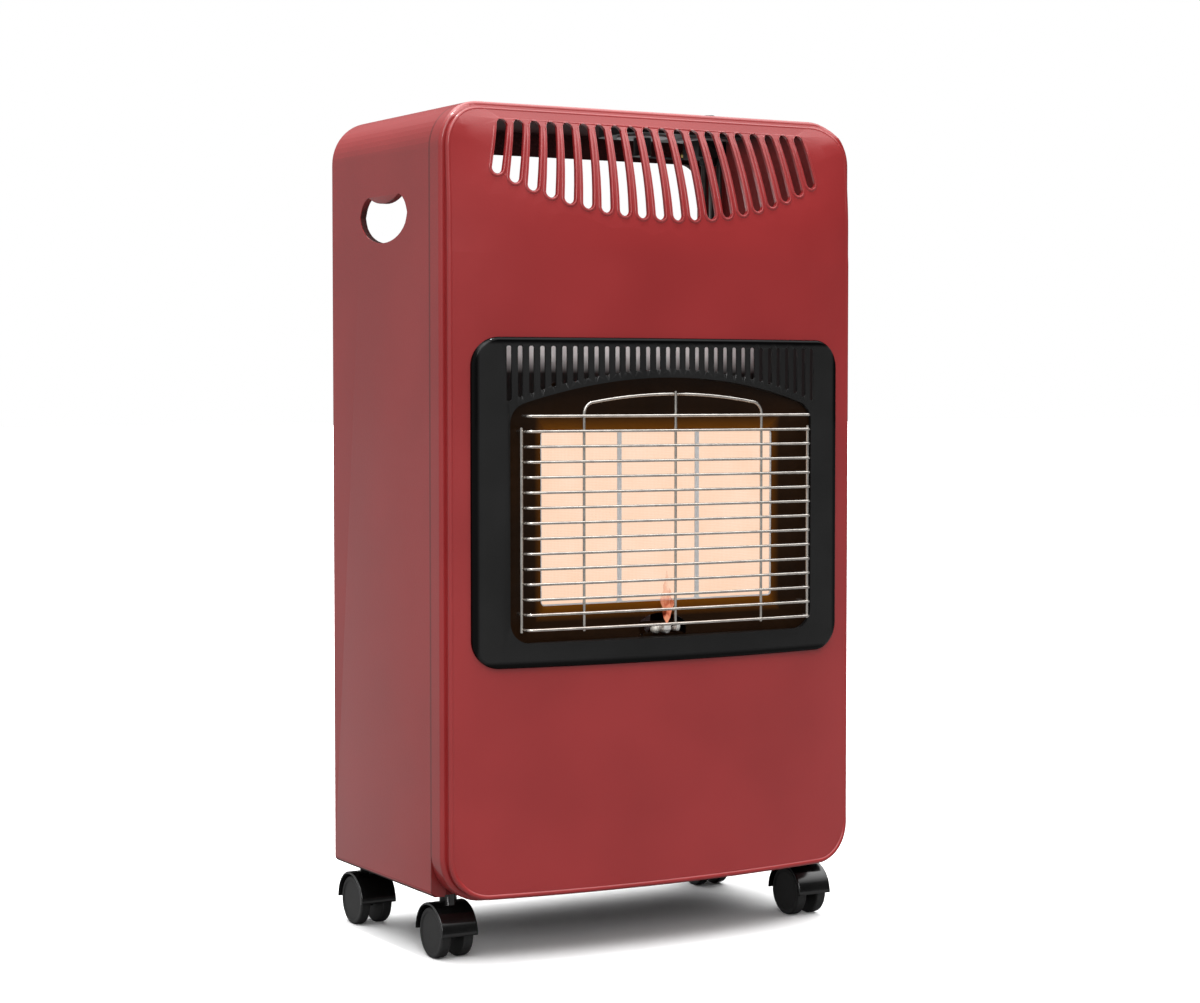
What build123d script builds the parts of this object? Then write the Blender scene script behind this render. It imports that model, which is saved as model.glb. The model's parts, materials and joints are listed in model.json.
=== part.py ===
# Portable gas cabinet heater: a painted sheet cabinet on four swivel castors, with a crowned front
# panel, a louvred window bezel, and three ceramic radiant plaques behind a wire guard.
# Millimetres. X runs to the right seen from the front, Y from the front to the back, Z up.
# The origin is on the floor, under the middle of the whole heater.
import os
from math import acos, degrees, sqrt

from build123d import *

os.makedirs("parts", exist_ok=True)

# ---- driving sizes: castors ----
wheel_r = 22.0
wheel_w = 9.5
wheel_gap = 12.0  # between the two wheels of one castor
wheel_round = 1.6
wheel_recess = 0.6
hub_r = 5.0
axle_r = 2.0
axle_cap = 2.0  # wheel face left over the end of the axle
hood_clear = 2.5  # wheel tread to hood
hood_wall = 2.0
hood_side = 2.0  # hood past the outer wheel faces
hood_web = 8.0
neck_r = 7.6
neck_h = 8.5  # top of the hood to the underside of the base
stem_r = 4.0
stem_grip = 10.0  # stem inside the neck
trail = 3.0  # axle behind the stem
stem_inset_x = 25.0  # stem from the cabinet side
stem_inset_y = 18.0  # stem from the seam and from the back
socket_h = 24.0
socket_wall = 2.5
socket_flange_r = 11.0
socket_flange_t = 1.5
seat_rise = 0.5  # pressed seat under each socket flange
seat_border = 1.0

# ---- driving sizes: cabinet ----
cabinet_w = 420.0
cabinet_h = 679.0
shell_depth = 200.0  # seam with the front panel to the back edge
sheet = 1.0
corner_r = 40.0
bottom_r = 5.0
bottom_lip = 8.0
front_flange = 14.0
rear_flange = 26.5
rear_flange_top = 24.0
rear_corner_r = 22.0
rear_return = 8.0
tray_wall_h = 32.0
grip_w = 95.6
grip_drop = 24.4  # widest level of the grip down to its bottom
grip_rise = 17.2  # widest level up to the horns
grip_bump = 7.1  # how far the bump hangs below the horns
grip_horn = 30.6  # half distance between the horns
grip_level = 587.3  # widest level above the base
grip_back = 91.5  # middle of the grip behind the seam
grip_lip = 6.0
grip_shoulder_r = 22.3
grip_horn_r = 2.5
tray_rear_h = 12.0
tray_bead_gap = 150.0  # between the two pressed beads of the floor
tray_bead_l = 130.0
tray_bead_w = 16.0
tray_bead_h = 1.5

# ---- driving sizes: front panel ----
panel_drop = 3.3  # panel edge below the base
rim_depth = 19.5
rim_round = 3.5
crown_r = 960.0  # bow of the face, seen from above
crown_depth = 48.5  # middle of the face in front of the seam
crown_side = 5.2  # crown edge in from the panel side
crown_bottom = 13.5  # crown edge up from the panel bottom
brow_r = 237.0  # roll of the face back to the top edge
brow_h = 129.0  # where the roll starts, below the top
brow_flat_h = 19.0  # where the bow has run out, below the top
brow_steps = 4
edge_round = 3.0  # rounding of the crown down to the rim
flat_sag = 0.05
form_over = 2.0  # forming blocks past the sheet they shape
tab_w = 12.0  # screw tabs inside the panel's back edge
tab_h = 18.0
panel_seat = 0.1  # paint gap between joined sheets

# ---- driving sizes: vent slots ----
vent_count = 20
vent_pitch = 15.88  # at the top ends
vent_w = 10.0
vent_top_drop = 14.7  # top ends below the cabinet top
vent_fan = 670.0  # height of the point where the slots' lines meet, above their tops
vent_arc_r = 342.0  # arc through the bottom ends
vent_length = 82.3  # of a slot at the middle
vent_lip = 2.5
vent_proud = 0.5  # lip in front of the face

# ---- driving sizes: window bezel ----
bezel_w = 374.0
bezel_h = 282.0
bezel_bottom = 197.3  # above the base
bezel_corner_r = 25.0
bezel_proud = 4.2  # in front of the panel's face
bezel_wall = 1.5
bezel_round = 3.6
bezel_lap = 7.0  # on the panel, round the cut-out
hook_w = 14.0  # hooks that hold the bezel behind the panel sheet
hook_reach = 5.2
hook_lap = 5.0
hook_clear = 0.3
post_x = 110.0  # screw posts behind the bezel, between two louvres
post_r = 2.5
louvre_count = 32
louvre_pitch = 10.0
louvre_w = 4.6
louvre_top_drop = 7.6  # below the bezel top
louvre_gap = 6.3  # louvre ends above the window arch
window_w = 308.4
window_arch_r = 464.0
window_bottom_rise = 21.1  # above the bezel bottom
window_h = 226.8
window_corner_r = 18.0
window_return_y = 37.0  # back edge of the window's turned lip, in front of the seam

# ---- driving sizes: burner ----
plaque_count = 3
plaque_open_w = 75.6  # plaque seen through its frame
plaque_open_h = 148.3
plaque_t = 13.0
plaque_gap = 4.2
plaque_bottom = 249.9  # above the base
plaque_front = 27.0  # in front of the seam
plaque_clear = 0.3
frame_t = 1.0
frame_lip = 1.6  # frame over the plaque edge
frame_grip = 6.0  # frame walls past the plaque, over the plenums
frame_ear_h = 60.0
pan_sheet = 0.8
pan_flange = 5.0
notch_w = 48.0
notch_foot = 0.4  # above the window bottom
notch_h = 20.0
notch_r = 40.0
notch_corner_r = 3.0
mouth_border = 1.4  # frame seen round the plaques
mouth_arch_r = 20000.0
mouth_corner_r = 4.0
plaque_rim = 0.8
plaque_corner_r = 2.0
plenum_depth = 24.0
plenum_wall = 1.0
venturi_r = 8.0
venturi_wall = 0.8
venturi_h = 42.0
venturi_bell_r = 11.0
venturi_bell_h = 9.0
injector_gap = 4.0
injector_h = 12.0
injector_af = 10.0
bar_w = 14.0
bar_t = 3.0
injector_shank_r = 4.0
venturi_depth = -1.0  # axis in front of the seam
bracket_x = 155.2
bracket_t = 1.2
bracket_lap = 12.0
bracket_over = 18.0
bracket_slot_w = 12.0
shield_w = 278.0
shield_fold = 8.0
shield_bead_w = 10.0
shield_back = 30.0  # behind the seam
shield_t = 0.8
shield_bottom = 205.0  # above the base
shield_top = 543.0

# ---- driving sizes: guard ----
wire_r = 1.25
guard_w = 288.0
guard_rows = 15
guard_pitch = 12.96
guard_bottom_rise = 12.3  # lowest row above the window's bottom edge
guard_front = 59.2  # middle of a row's wire in front of the seam
guard_r = 2080.0
guard_bend_r = 4.0
guard_leg = 11.0
guard_upright_x = 90.6
guard_top_rise = 212.4  # top of the arch above the window bottom
guard_arch_r = 485.0
guard_side_rise = 184.0
weld_film = 0.02  # between crossing wires
pin_depth = 31.0
guard_arch_bend = 10.0
guard_end = 2.5  # wire ends past the wires they cross

# ---- driving sizes: pilot ----
pilot_front = 41.0
pilot_rise = 31.7  # tip above the bezel bottom
pilot_r = 3.2
pilot_reach = 17.0  # tips in front of the bracket
stick_tail = 4.0
probe_x = 12.0
electrode_x = 9.0
probe_r = 2.0
electrode_r = 1.1
insulator_r = 3.0

# ---- driving sizes: controls ----
control_x = 62.0  # middle of the insert, right of the middle
control_back = 50.0  # behind the seam
control_w = 125.0
control_d = 74.0
control_corner_r = 14.0
control_plate_t = 2.0
control_lap = 4.0  # on the cabinet top, round its opening
well_depth = 13.0
well_floor = 2.0
control_spacing = 64.0
disc_r = 23.5
disc_t = 1.5
knob_r = 20.0
knob_h = 15.0
spindle_grip = 6.0  # spindle inside the knob above its skirt
knob_grip_w = 11.0
knob_skirt_h = 5.0
knob_push = 4.0
spindle_r = 3.0
plunger_r = 4.5
plunger_h = 6.0
neck_hole_r = 6.0  # valve and igniter necks through the insert
valve_w = 30.0
valve_shift = 3.0  # valve body right of its spindle
valve_d = 30.0
valve_h = 15.0
chamber_rise = 2.0
port_x = 100.0  # first column of pipe ports
port_step = 9.0
port_nut_af = 7.6
port_nut_h = 6.0
button_r = 9.0
button_h = 12.0
button_push = 5.0
collar_r = 13.0
collar_h = 6.0
igniter_r = 8.0
igniter_h = 16.0
run_clear = 0.08
move_clear = 0.35

# ---- driving sizes: gas pipework ----
pipe_r = 2.5
pipe_bend = 12.0
pipe_drop = 15.0  # runs below the injectors
pipe_level_step = 8.0
pilot_pipe_r = 2.0
pilot_turn_x = 50.0
pilot_drop = 7.0
lead_turn_x = 36.0
spark_drop_x = 120.0
inlet_r = 4.5
inlet_length = 26.0
inlet_hex_af = 12.0
inlet_hex_h = 6.0
inlet_ribs = 3
inlet_rib = 0.8
lead_r = 1.0

# ---- driving sizes: screws ----
screw_r = 2.0
screw_head_r = 3.8
screw_head_h = 2.2
screw_length = 7.0
small_screw_r = 1.25
small_screw_l = 5.0
small_head_r = 2.4
small_head_h = 1.5

# ---- places worked out from the sizes ----
castor_w = 2 * wheel_w + wheel_gap
hood_in_r = wheel_r + hood_clear
hood_r = hood_in_r + hood_wall
hood_w = castor_w + 2 * hood_side
base_z = wheel_r + hood_r + neck_h
top_z = base_z + cabinet_h
half_w = cabinet_w / 2
front_reach = guard_front + wire_r
rear_reach = shell_depth - stem_inset_y + trail + hood_r
seam_y = (front_reach - rear_reach) / 2
back_y = seam_y + shell_depth
bezel_z = base_z + bezel_bottom
bezel_top = bezel_z + bezel_h
window_z = bezel_z + window_bottom_rise
window_top = window_z + window_h
plaque_z = base_z + plaque_bottom
plaque_top = plaque_z + plaque_open_h
plaque_step = plaque_open_w + plaque_gap
plaque_w = plaque_open_w + 2 * frame_lip
plaque_h = plaque_open_h + 2 * frame_lip
guard_top = window_z + guard_top_rise
guard_side_top = window_z + guard_side_rise
shield_z = base_z + shield_bottom
shield_top_z = base_z + shield_top


def facing(depth):
    """Plane square to Y, `depth` in front of the seam, looking forward."""
    return Plane.XZ.offset(depth - seam_y)


def bow(radius, x):
    """How far an arc of this radius, with its top at x = 0, has dropped at x."""
    return radius - sqrt(radius**2 - x**2)


def place(x, depth, z):
    """A point given by its distance in front of the seam."""
    return (x, seam_y - depth, z)


def cabinet_outline(plane, inset, foot, foot_r):
    """Front outline of the cabinet down to a foot line, drawn inset from the outer skin."""
    with BuildSketch(plane) as outline:
        with Locations((0, (foot + top_z) / 2)):
            Rectangle(cabinet_w - 2 * inset, top_z - foot - 2 * inset)
        fillet(outline.vertices().group_by(Axis.Y)[-1], corner_r - inset)
        fillet(outline.vertices().group_by(Axis.Y)[0], foot_r - inset)
    return outline.sketch


def arched_outline(plane, width, low, high, arch_r, round_r):
    """Opening with straight sides, an arched top and rounded corners."""
    shoulder = high - bow(arch_r, width / 2)
    with BuildSketch(plane) as outline:
        with BuildLine():
            Line((-width / 2, shoulder), (-width / 2, low))
            Line((-width / 2, low), (width / 2, low))
            Line((width / 2, low), (width / 2, shoulder))
            ThreePointArc((width / 2, shoulder), (0, high), (-width / 2, shoulder))
        make_face()
        fillet(outline.vertices(), round_r)
    return outline.sketch


def grip_outline(plane, grow):
    """Hand grip in the cabinet side: a round bowl with a bump hanging between two horns."""
    half = grip_w / 2 + grow
    horn = grip_horn + grow / 2
    rise = grip_rise + grow
    with BuildSketch(plane) as outline:
        with BuildLine():
            ThreePointArc((-half, 0), (0, -grip_drop - grow), (half, 0))
            RadiusArc((half, 0), (horn, rise), -grip_shoulder_r - grow)
            ThreePointArc((horn, rise), (0, rise - grip_bump), (-horn, rise))
            RadiusArc((-horn, rise), (-half, 0), -grip_shoulder_r - grow)
        make_face()
        fillet(outline.vertices().group_by(Axis.Y)[-1], grip_horn_r + grow)
    return outline.sketch


def wire(points, radius, bend, name):
    """Round wire or pipe along straight runs joined by bends."""
    with BuildPart() as rod:
        with BuildLine():
            path = FilletPolyline(*points, radius=bend)
        with BuildSketch(Plane(origin=path @ 0, z_dir=path % 0)):
            Circle(radius)
        sweep()
    rod.part.label = name
    return rod.part


def save(part, name):
    part.label = name
    export_step(part, f"parts/{name}.step")


# ---- the cabinet body: one folded sheet with turned flanges front and back ----
rear_open_w = cabinet_w - 2 * rear_flange
rear_open_top = top_z - rear_flange_top
return_foot = base_z + tray_wall_h + 3 * sheet
control_y = seam_y + control_back
screw_x = half_w - front_flange / 2 - sheet / 2
screw_levels = (base_z + cabinet_h * 0.18, base_z + cabinet_h * 0.82)
with BuildPart() as body_shell:
    extrude(cabinet_outline(facing(0), 0, base_z, bottom_r), amount=-shell_depth)
    hollow = cabinet_outline(facing(-sheet), sheet, base_z, bottom_r)
    extrude(hollow, amount=2 * sheet - shell_depth, mode=Mode.SUBTRACT)
    with BuildSketch(facing(-shell_depth)):
        with Locations((0, (return_foot + rear_open_top) / 2)):
            Rectangle(rear_open_w + 2 * sheet, rear_open_top + 2 * sheet - return_foot)
    extrude(amount=rear_return)
    with BuildSketch(facing(-shell_depth)) as rear_mouth:
        with Locations((0, (base_z + rear_open_top) / 2)):
            Rectangle(rear_open_w, rear_open_top - base_z + 2 * sheet)
        fillet(rear_mouth.vertices().group_by(Axis.Y)[-1], rear_corner_r)
    extrude(amount=rear_return, mode=Mode.SUBTRACT)
    with BuildSketch(facing(0)) as front_mouth:
        with Locations((0, (base_z + top_z) / 2 - front_flange / 2)):
            Rectangle(cabinet_w - 2 * front_flange, cabinet_h - front_flange)
        fillet(front_mouth.vertices().group_by(Axis.Y)[-1], corner_r - front_flange)
    extrude(amount=-sheet, mode=Mode.SUBTRACT)
    with Locations((0, (seam_y + back_y) / 2, base_z)):
        Box(cabinet_w - 2 * (bottom_r + bottom_lip), shell_depth, 3 * sheet, mode=Mode.SUBTRACT)
    for side in (-1, 1):
        skin = Plane(
            origin=(side * half_w, seam_y + grip_back, base_z + grip_level), x_dir=(0, 1, 0), z_dir=(-side, 0, 0)
        )
        if side == 1:
            skin = Plane(origin=skin.origin, x_dir=(0, -1, 0), z_dir=(-1, 0, 0))
        extrude(grip_outline(skin, sheet), amount=grip_lip)
        extrude(grip_outline(skin, 0), amount=grip_lip, mode=Mode.SUBTRACT)
    with BuildSketch(Plane.XY.offset(top_z)):
        with Locations((control_x, control_y)):
            RectangleRounded(control_w + 2 * move_clear, control_d + 2 * move_clear, control_corner_r)
    extrude(amount=-2 * sheet, mode=Mode.SUBTRACT)
    with BuildSketch(facing(0)):
        with Locations(*[(side * screw_x, z) for side in (-1, 1) for z in screw_levels]):
            Circle(screw_r + run_clear)
    extrude(amount=-2 * sheet, mode=Mode.SUBTRACT)
save(body_shell.part, "body_shell")

# ---- base tray: sits inside the body on its turned-in foot ----
stem_x = half_w - stem_inset_x
stem_ys = (seam_y + stem_inset_y, back_y - stem_inset_y)
socket_r = stem_r + run_clear + socket_wall
tray_inset = sheet + panel_seat
tray_length = shell_depth - 2 * tray_inset
floor_z = base_z + tray_inset
with BuildPart() as base_tray:
    extrude(cabinet_outline(facing(-tray_inset), tray_inset, base_z, bottom_r), amount=-tray_length)
    inside = cabinet_outline(facing(-tray_inset - sheet), tray_inset + sheet, base_z, bottom_r)
    extrude(inside, amount=2 * sheet - tray_length, mode=Mode.SUBTRACT)
    with Locations((0, (seam_y + back_y) / 2, floor_z + tray_wall_h)):
        Box(cabinet_w, shell_depth, cabinet_h, align=(Align.CENTER, Align.CENTER, Align.MIN), mode=Mode.SUBTRACT)
    with Locations((0, back_y, floor_z + tray_rear_h)):
        Box(
            cabinet_w - 2 * rear_flange, 4 * tray_inset + 2 * sheet, cabinet_h,
            align=(Align.CENTER, Align.CENTER, Align.MIN), mode=Mode.SUBTRACT,
        )
    with BuildSketch(Plane.XY.offset(floor_z)):
        with Locations((0, (seam_y + back_y) / 2)):
            with Locations((-tray_bead_gap / 2, 0), (tray_bead_gap / 2, 0)):
                SlotOverall(tray_bead_l, tray_bead_w, rotation=90)
    extrude(amount=sheet + tray_bead_h)
    with BuildSketch(Plane.XY.offset(floor_z)):
        with Locations(*[(side * stem_x, y) for side in (-1, 1) for y in stem_ys]):
            Circle(socket_flange_r + seat_border)
    extrude(amount=sheet + seat_rise)
    with BuildSketch(Plane.XY.offset(floor_z)):
        with Locations(*[(side * stem_x, y) for side in (-1, 1) for y in stem_ys]):
            Circle(socket_r + run_clear)
    extrude(amount=2 * sheet, mode=Mode.SUBTRACT)
save(base_tray.part, "base_tray")

with BuildPart() as castor_sockets:
    with BuildSketch(Plane.XY.offset(floor_z)):
        with Locations(*[(side * stem_x, y) for side in (-1, 1) for y in stem_ys]):
            Circle(socket_r)
    extrude(amount=socket_h)
    with BuildSketch(Plane.XY.offset(floor_z + sheet + seat_rise)):
        with Locations(*[(side * stem_x, y) for side in (-1, 1) for y in stem_ys]):
            Circle(socket_flange_r)
    extrude(amount=socket_flange_t)
    with BuildSketch(Plane.XY.offset(floor_z)):
        with Locations(*[(side * stem_x, y) for side in (-1, 1) for y in stem_ys]):
            Circle(stem_r + run_clear)
    extrude(amount=socket_h - socket_wall, mode=Mode.SUBTRACT)
save(castor_sockets.part, "castor_sockets")


# ---- front panel: a pressed sheet with a narrow rim and a crowned field ----
brow_z = top_z - brow_h
flat_z = top_z - brow_flat_h
rim_foot = base_z - panel_drop
span = half_w + form_over
edge_depth = crown_depth - bow(crown_r, span)
flat_depth = crown_depth - bow(brow_r, flat_z - brow_z)


def crown_section(z, skin):
    """Plan of the space behind the face at height z, its bow fading out towards the top edge."""
    middle = crown_depth - skin
    if z > brow_z:
        middle -= bow(brow_r - skin, z - brow_z)
    fade = max(0.0, (middle + skin - flat_depth) / (crown_depth - flat_depth))
    side = min(middle, flat_depth + (edge_depth - flat_depth) * fade - skin)
    if fade == 0:
        side = middle - flat_sag
    with BuildSketch(Plane.XY.offset(z)) as section:
        with BuildLine():
            Line((span, seam_y + form_over), (-span, seam_y + form_over))
            Line((-span, seam_y + form_over), (-span, seam_y - side))
            ThreePointArc((-span, seam_y - side), (0, seam_y - middle), (span, seam_y - side))
            Line((span, seam_y - side), (span, seam_y + form_over))
        make_face()
    return section.sketch


def front_edges(faces):
    """Front edges of the walls among these faces, a wall being a face that runs straight back."""
    walls = [face for face in faces if abs(face.normal_at().Y) < 0.01]
    return [
        edge for wall in walls for edge in wall.edges()
        if abs(edge.tangent_at(0.5).Y) < 0.9 and edge.center().Y < seam_y - rim_depth / 2
    ]


def panel_form(skin):
    """The panel as a solid block, drawn inside its outer surface by one skin."""
    with BuildPart() as crown:
        add(crown_section(brow_z, skin))
        extrude(amount=rim_foot - form_over - brow_z)
        steps = [brow_z + (flat_z - brow_z) * k / brow_steps for k in range(brow_steps + 1)]
        loft([crown_section(z, skin).face() for z in steps + [top_z + form_over]])
    field_foot = rim_foot + crown_bottom + skin
    with BuildPart() as dome:
        with BuildSketch(facing(0)) as field:
            with Locations((0, (field_foot + top_z) / 2)):
                Rectangle(cabinet_w - 2 * (crown_side + skin), top_z - field_foot - 2 * (crown_side + skin))
            fillet(field.vertices(), corner_r - crown_side - skin)
        extrude(amount=crown_depth + 1)
        add(crown.part, mode=Mode.INTERSECT)
        fillet(front_edges(dome.faces()), edge_round - skin)
    with BuildPart() as form:
        extrude(cabinet_outline(facing(0), skin, rim_foot, corner_r), amount=rim_depth - skin)
        fillet(form.faces().sort_by(Axis.Y)[0].edges(), rim_round - skin)
        add(dome.part)
    return form.part


def vent_slots(plane, grow):
    """Fan of slots: level tops, bottoms on an arc, all pointing at one far point above."""
    tip_z = top_z - vent_top_drop
    lowest = tip_z - vent_length
    with BuildSketch(plane) as slots:
        for k in range(vent_count):
            top_x = (k - (vent_count - 1) / 2) * vent_pitch
            low = lowest + bow(vent_arc_r, top_x)
            low_x = top_x * (vent_fan + tip_z - low) / vent_fan
            length = sqrt((low_x - top_x) ** 2 + (tip_z - low) ** 2)
            lean = degrees(acos((tip_z - low) / length)) * (-1 if top_x < 0 else 1)
            with Locations(((top_x + low_x) / 2, (tip_z + low) / 2)):
                SlotOverall(length + 2 * grow, vent_w + 2 * grow, rotation=90 + lean)
    return slots.sketch


outer_form = panel_form(0)
with BuildPart() as vent_lips:
    extrude(vent_slots(facing(0), sheet), amount=crown_depth)
    add(outer_form.moved(Location((0, -vent_proud, 0))), mode=Mode.INTERSECT)
    add(outer_form.moved(Location((0, vent_lip, 0))), mode=Mode.SUBTRACT)
with BuildPart() as front_panel:
    add(outer_form)
    add(panel_form(sheet), mode=Mode.SUBTRACT)
    add(vent_lips.part)
    extrude(vent_slots(facing(0), 0), amount=crown_depth, mode=Mode.SUBTRACT)
    with BuildSketch(facing(0)):
        with Locations((0, bezel_z + bezel_h / 2)):
            RectangleRounded(bezel_w - 2 * bezel_lap, bezel_h - 2 * bezel_lap, bezel_corner_r - bezel_lap)
    extrude(amount=crown_depth, mode=Mode.SUBTRACT)
    with BuildSketch(facing(0)):
        with Locations(*[(side * (half_w - sheet - tab_w / 2), z) for side in (-1, 1) for z in screw_levels]):
            Rectangle(tab_w, tab_h)
    extrude(amount=sheet)
    with BuildSketch(facing(0)):
        with Locations(*[(side * screw_x, z) for side in (-1, 1) for z in screw_levels]):
            Circle(screw_r + run_clear)
    extrude(amount=2 * sheet, mode=Mode.SUBTRACT)
save(front_panel.part, "front_panel")

with BuildPart() as panel_screws:
    with BuildSketch(facing(-sheet)):
        with Locations(*[(side * screw_x, z) for side in (-1, 1) for z in screw_levels]):
            Circle(screw_head_r)
    extrude(amount=-screw_head_h)
    fillet(panel_screws.faces().sort_by(Axis.Y)[-4:].edges(), screw_head_h * 0.6)
    with BuildSketch(facing(-sheet)):
        with Locations(*[(side * screw_x, z) for side in (-1, 1) for z in screw_levels]):
            Circle(screw_r)
    extrude(amount=screw_length)
save(panel_screws.part, "panel_screws")


# ---- window bezel: a shallow tray laid on the crown, with the louvres and the arched window ----
def bowed(out, low, high):
    """Space between the seam and the crown's face moved forward by `out`."""
    with BuildPart() as block:
        add(crown_section(low, -out))
        extrude(amount=high - low)
    return block.part


def window_outline(plane, grow=0.0):
    """The window's opening, or a line drawn evenly outside it."""
    return arched_outline(
        plane, window_w + 2 * grow, window_z - grow, window_top + grow, window_arch_r + grow, window_corner_r + grow
    )


bezel_mid = (bezel_z + bezel_top) / 2
post_low = window_z - bezel_wall - post_r * 0.8
post_high = window_top - bow(window_arch_r, post_x) + bezel_wall + post_r * 0.8
posts = [(side * post_x, z) for side in (-1, 1) for z in (post_low, post_high)]
cutout_half = bezel_w / 2 - bezel_lap
hook_depth = crown_depth - bow(crown_r, cutout_half + hook_lap) - sheet - hook_clear
with BuildPart() as window_bezel:
    with BuildSketch(facing(0)):
        with Locations((0, bezel_mid)):
            RectangleRounded(bezel_w, bezel_h, bezel_corner_r)
    extrude(amount=2 * crown_depth)
    add(bowed(bezel_proud, bezel_z - 1, bezel_top + 1), mode=Mode.INTERSECT)
    add(bowed(panel_seat, bezel_z - 1, bezel_top + 1), mode=Mode.SUBTRACT)
    fillet(window_bezel.faces().sort_by(Axis.Y)[0].edges(), bezel_round)
    with BuildPart(mode=Mode.PRIVATE) as hollow_form:
        with BuildSketch(facing(0)):
            with Locations((0, bezel_mid)):
                RectangleRounded(bezel_w - 2 * bezel_wall, bezel_h - 2 * bezel_wall, bezel_corner_r - bezel_wall)
        extrude(amount=2 * crown_depth)
        add(bowed(bezel_proud - bezel_wall, bezel_z - 1, bezel_top + 1), mode=Mode.INTERSECT)
    add(hollow_form.part, mode=Mode.SUBTRACT)
    with BuildPart(mode=Mode.PRIVATE) as lip_form:
        extrude(window_outline(facing(window_return_y), bezel_wall), amount=crown_depth)
        with BuildSketch(facing(window_return_y)):
            with Locations(*posts):
                Circle(post_r)
        extrude(amount=crown_depth)
        add(bowed(bezel_proud - bezel_wall / 2, bezel_z - 1, bezel_top + 1), mode=Mode.INTERSECT)
    add(lip_form.part)
    extrude(window_outline(facing(0)), amount=2 * crown_depth, mode=Mode.SUBTRACT)
    with BuildSketch(facing(window_return_y)):
        with Locations(*posts):
            Circle(small_screw_r)
    extrude(amount=small_screw_l, mode=Mode.SUBTRACT)
    with BuildSketch(facing(0)):
        for k in range(louvre_count):
            louvre_x = (k - (louvre_count - 1) / 2) * louvre_pitch
            high = bezel_top - louvre_top_drop
            low = window_top + louvre_gap - bow(window_arch_r, louvre_x)
            with Locations((louvre_x, (low + high) / 2)):
                RectangleRounded(louvre_w, high - low, louvre_w / 3)
    extrude(amount=2 * crown_depth, mode=Mode.SUBTRACT)
    for side in (-1, 1):
        for level in (bezel_z + 4 * hook_w, bezel_mid, bezel_top - 4 * hook_w):
            with BuildSketch(Plane.XY.offset(level - hook_w / 2)):
                with Locations((side * (cutout_half - hook_clear - sheet / 2), seam_y - hook_depth)):
                    Rectangle(sheet, hook_reach, align=(Align.CENTER, Align.MAX))
                with Locations((side * (cutout_half - hook_clear + hook_lap / 2 - sheet), seam_y - hook_depth)):
                    Rectangle(hook_lap, sheet, align=(Align.CENTER, Align.MIN))
            extrude(amount=hook_w)
save(window_bezel.part, "window_bezel")


# ---- reflector pan: a shallow funnel from the window back to the plaques, with a notch for the pilot ----
def slab(x, depth, z, mode=Mode.ADD):
    """Square block between two places in x, in front of the seam, and in height."""
    with Locations(place((x[0] + x[1]) / 2, (depth[0] + depth[1]) / 2, (z[0] + z[1]) / 2)):
        Box(x[1] - x[0], depth[1] - depth[0], z[1] - z[0], mode=mode)


def mouth_outline(plane):
    """The pan's opening onto the plaques, its top edge as good as straight."""
    width = plaque_step * (plaque_count - 1) + plaque_open_w + 2 * mouth_border
    return arched_outline(
        plane, width, plaque_z - mouth_border, plaque_top + mouth_border, mouth_arch_r, mouth_corner_r
    )


pan_face = window_return_y - panel_seat
frame_face = plaque_front + plaque_clear + frame_t
mouth_face = frame_face + panel_seat + pan_sheet
row_levels = [window_z + guard_bottom_rise + k * guard_pitch for k in range(guard_rows)]
pin_levels = (row_levels[1], row_levels[-2])
with BuildPart() as pan_air:
    loft([window_outline(facing(pan_face)).face(), mouth_outline(facing(mouth_face)).face()])
with BuildPart() as reflector_pan:
    add(pan_air.part.moved(Location((0, pan_sheet, 0))))
    extrude(window_outline(facing(pan_face - pan_sheet), pan_flange), amount=pan_sheet)
    with BuildSketch(facing(pan_face - pan_sheet)):
        with Locations(*posts):
            Circle(2 * post_r)
    extrude(amount=pan_sheet)
    add(pan_air.part, mode=Mode.SUBTRACT)
    extrude(mouth_outline(facing(mouth_face)), amount=-3 * pan_sheet, mode=Mode.SUBTRACT)
    notch = arched_outline(facing(0), notch_w, window_z + notch_foot, window_z + notch_h, notch_r, notch_corner_r)
    extrude(notch, amount=crown_depth, mode=Mode.SUBTRACT)
    with BuildSketch(facing(0)):
        with Locations(*posts):
            Circle(small_screw_r + run_clear)
        with Locations(*[(side * guard_w / 2, z) for side in (-1, 1) for z in pin_levels]):
            Circle(wire_r + run_clear)
    extrude(amount=crown_depth, mode=Mode.SUBTRACT)
save(reflector_pan.part, "reflector_pan")

# ---- guard: bowed rows spot welded to the front of the uprights, two of them joined over the top ----
row_end = guard_front - bow(guard_r, guard_w / 2)
upright_drop = 2 * wire_r + weld_film
arch_depth = guard_front - bow(guard_r, guard_upright_x) - upright_drop
arch_shoulder = guard_top - bow(guard_arch_r, guard_upright_x)
upright_foot = row_levels[0] - guard_end
with BuildPart() as guard_row:
    with BuildLine(Plane.XY.offset(row_levels[0])) as row_line:
        Line((-guard_w / 2, seam_y - row_end + guard_leg), (-guard_w / 2, seam_y - row_end))
        ThreePointArc((-guard_w / 2, seam_y - row_end), (0, seam_y - guard_front), (guard_w / 2, seam_y - row_end))
        Line((guard_w / 2, seam_y - row_end), (guard_w / 2, seam_y - row_end + guard_leg))
        fillet(row_line.vertices().sort_by(Axis.Y)[:2], guard_bend_r)
    with BuildSketch(Plane(origin=row_line.line @ 0, z_dir=row_line.line % 0)):
        Circle(wire_r)
    sweep()
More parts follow.
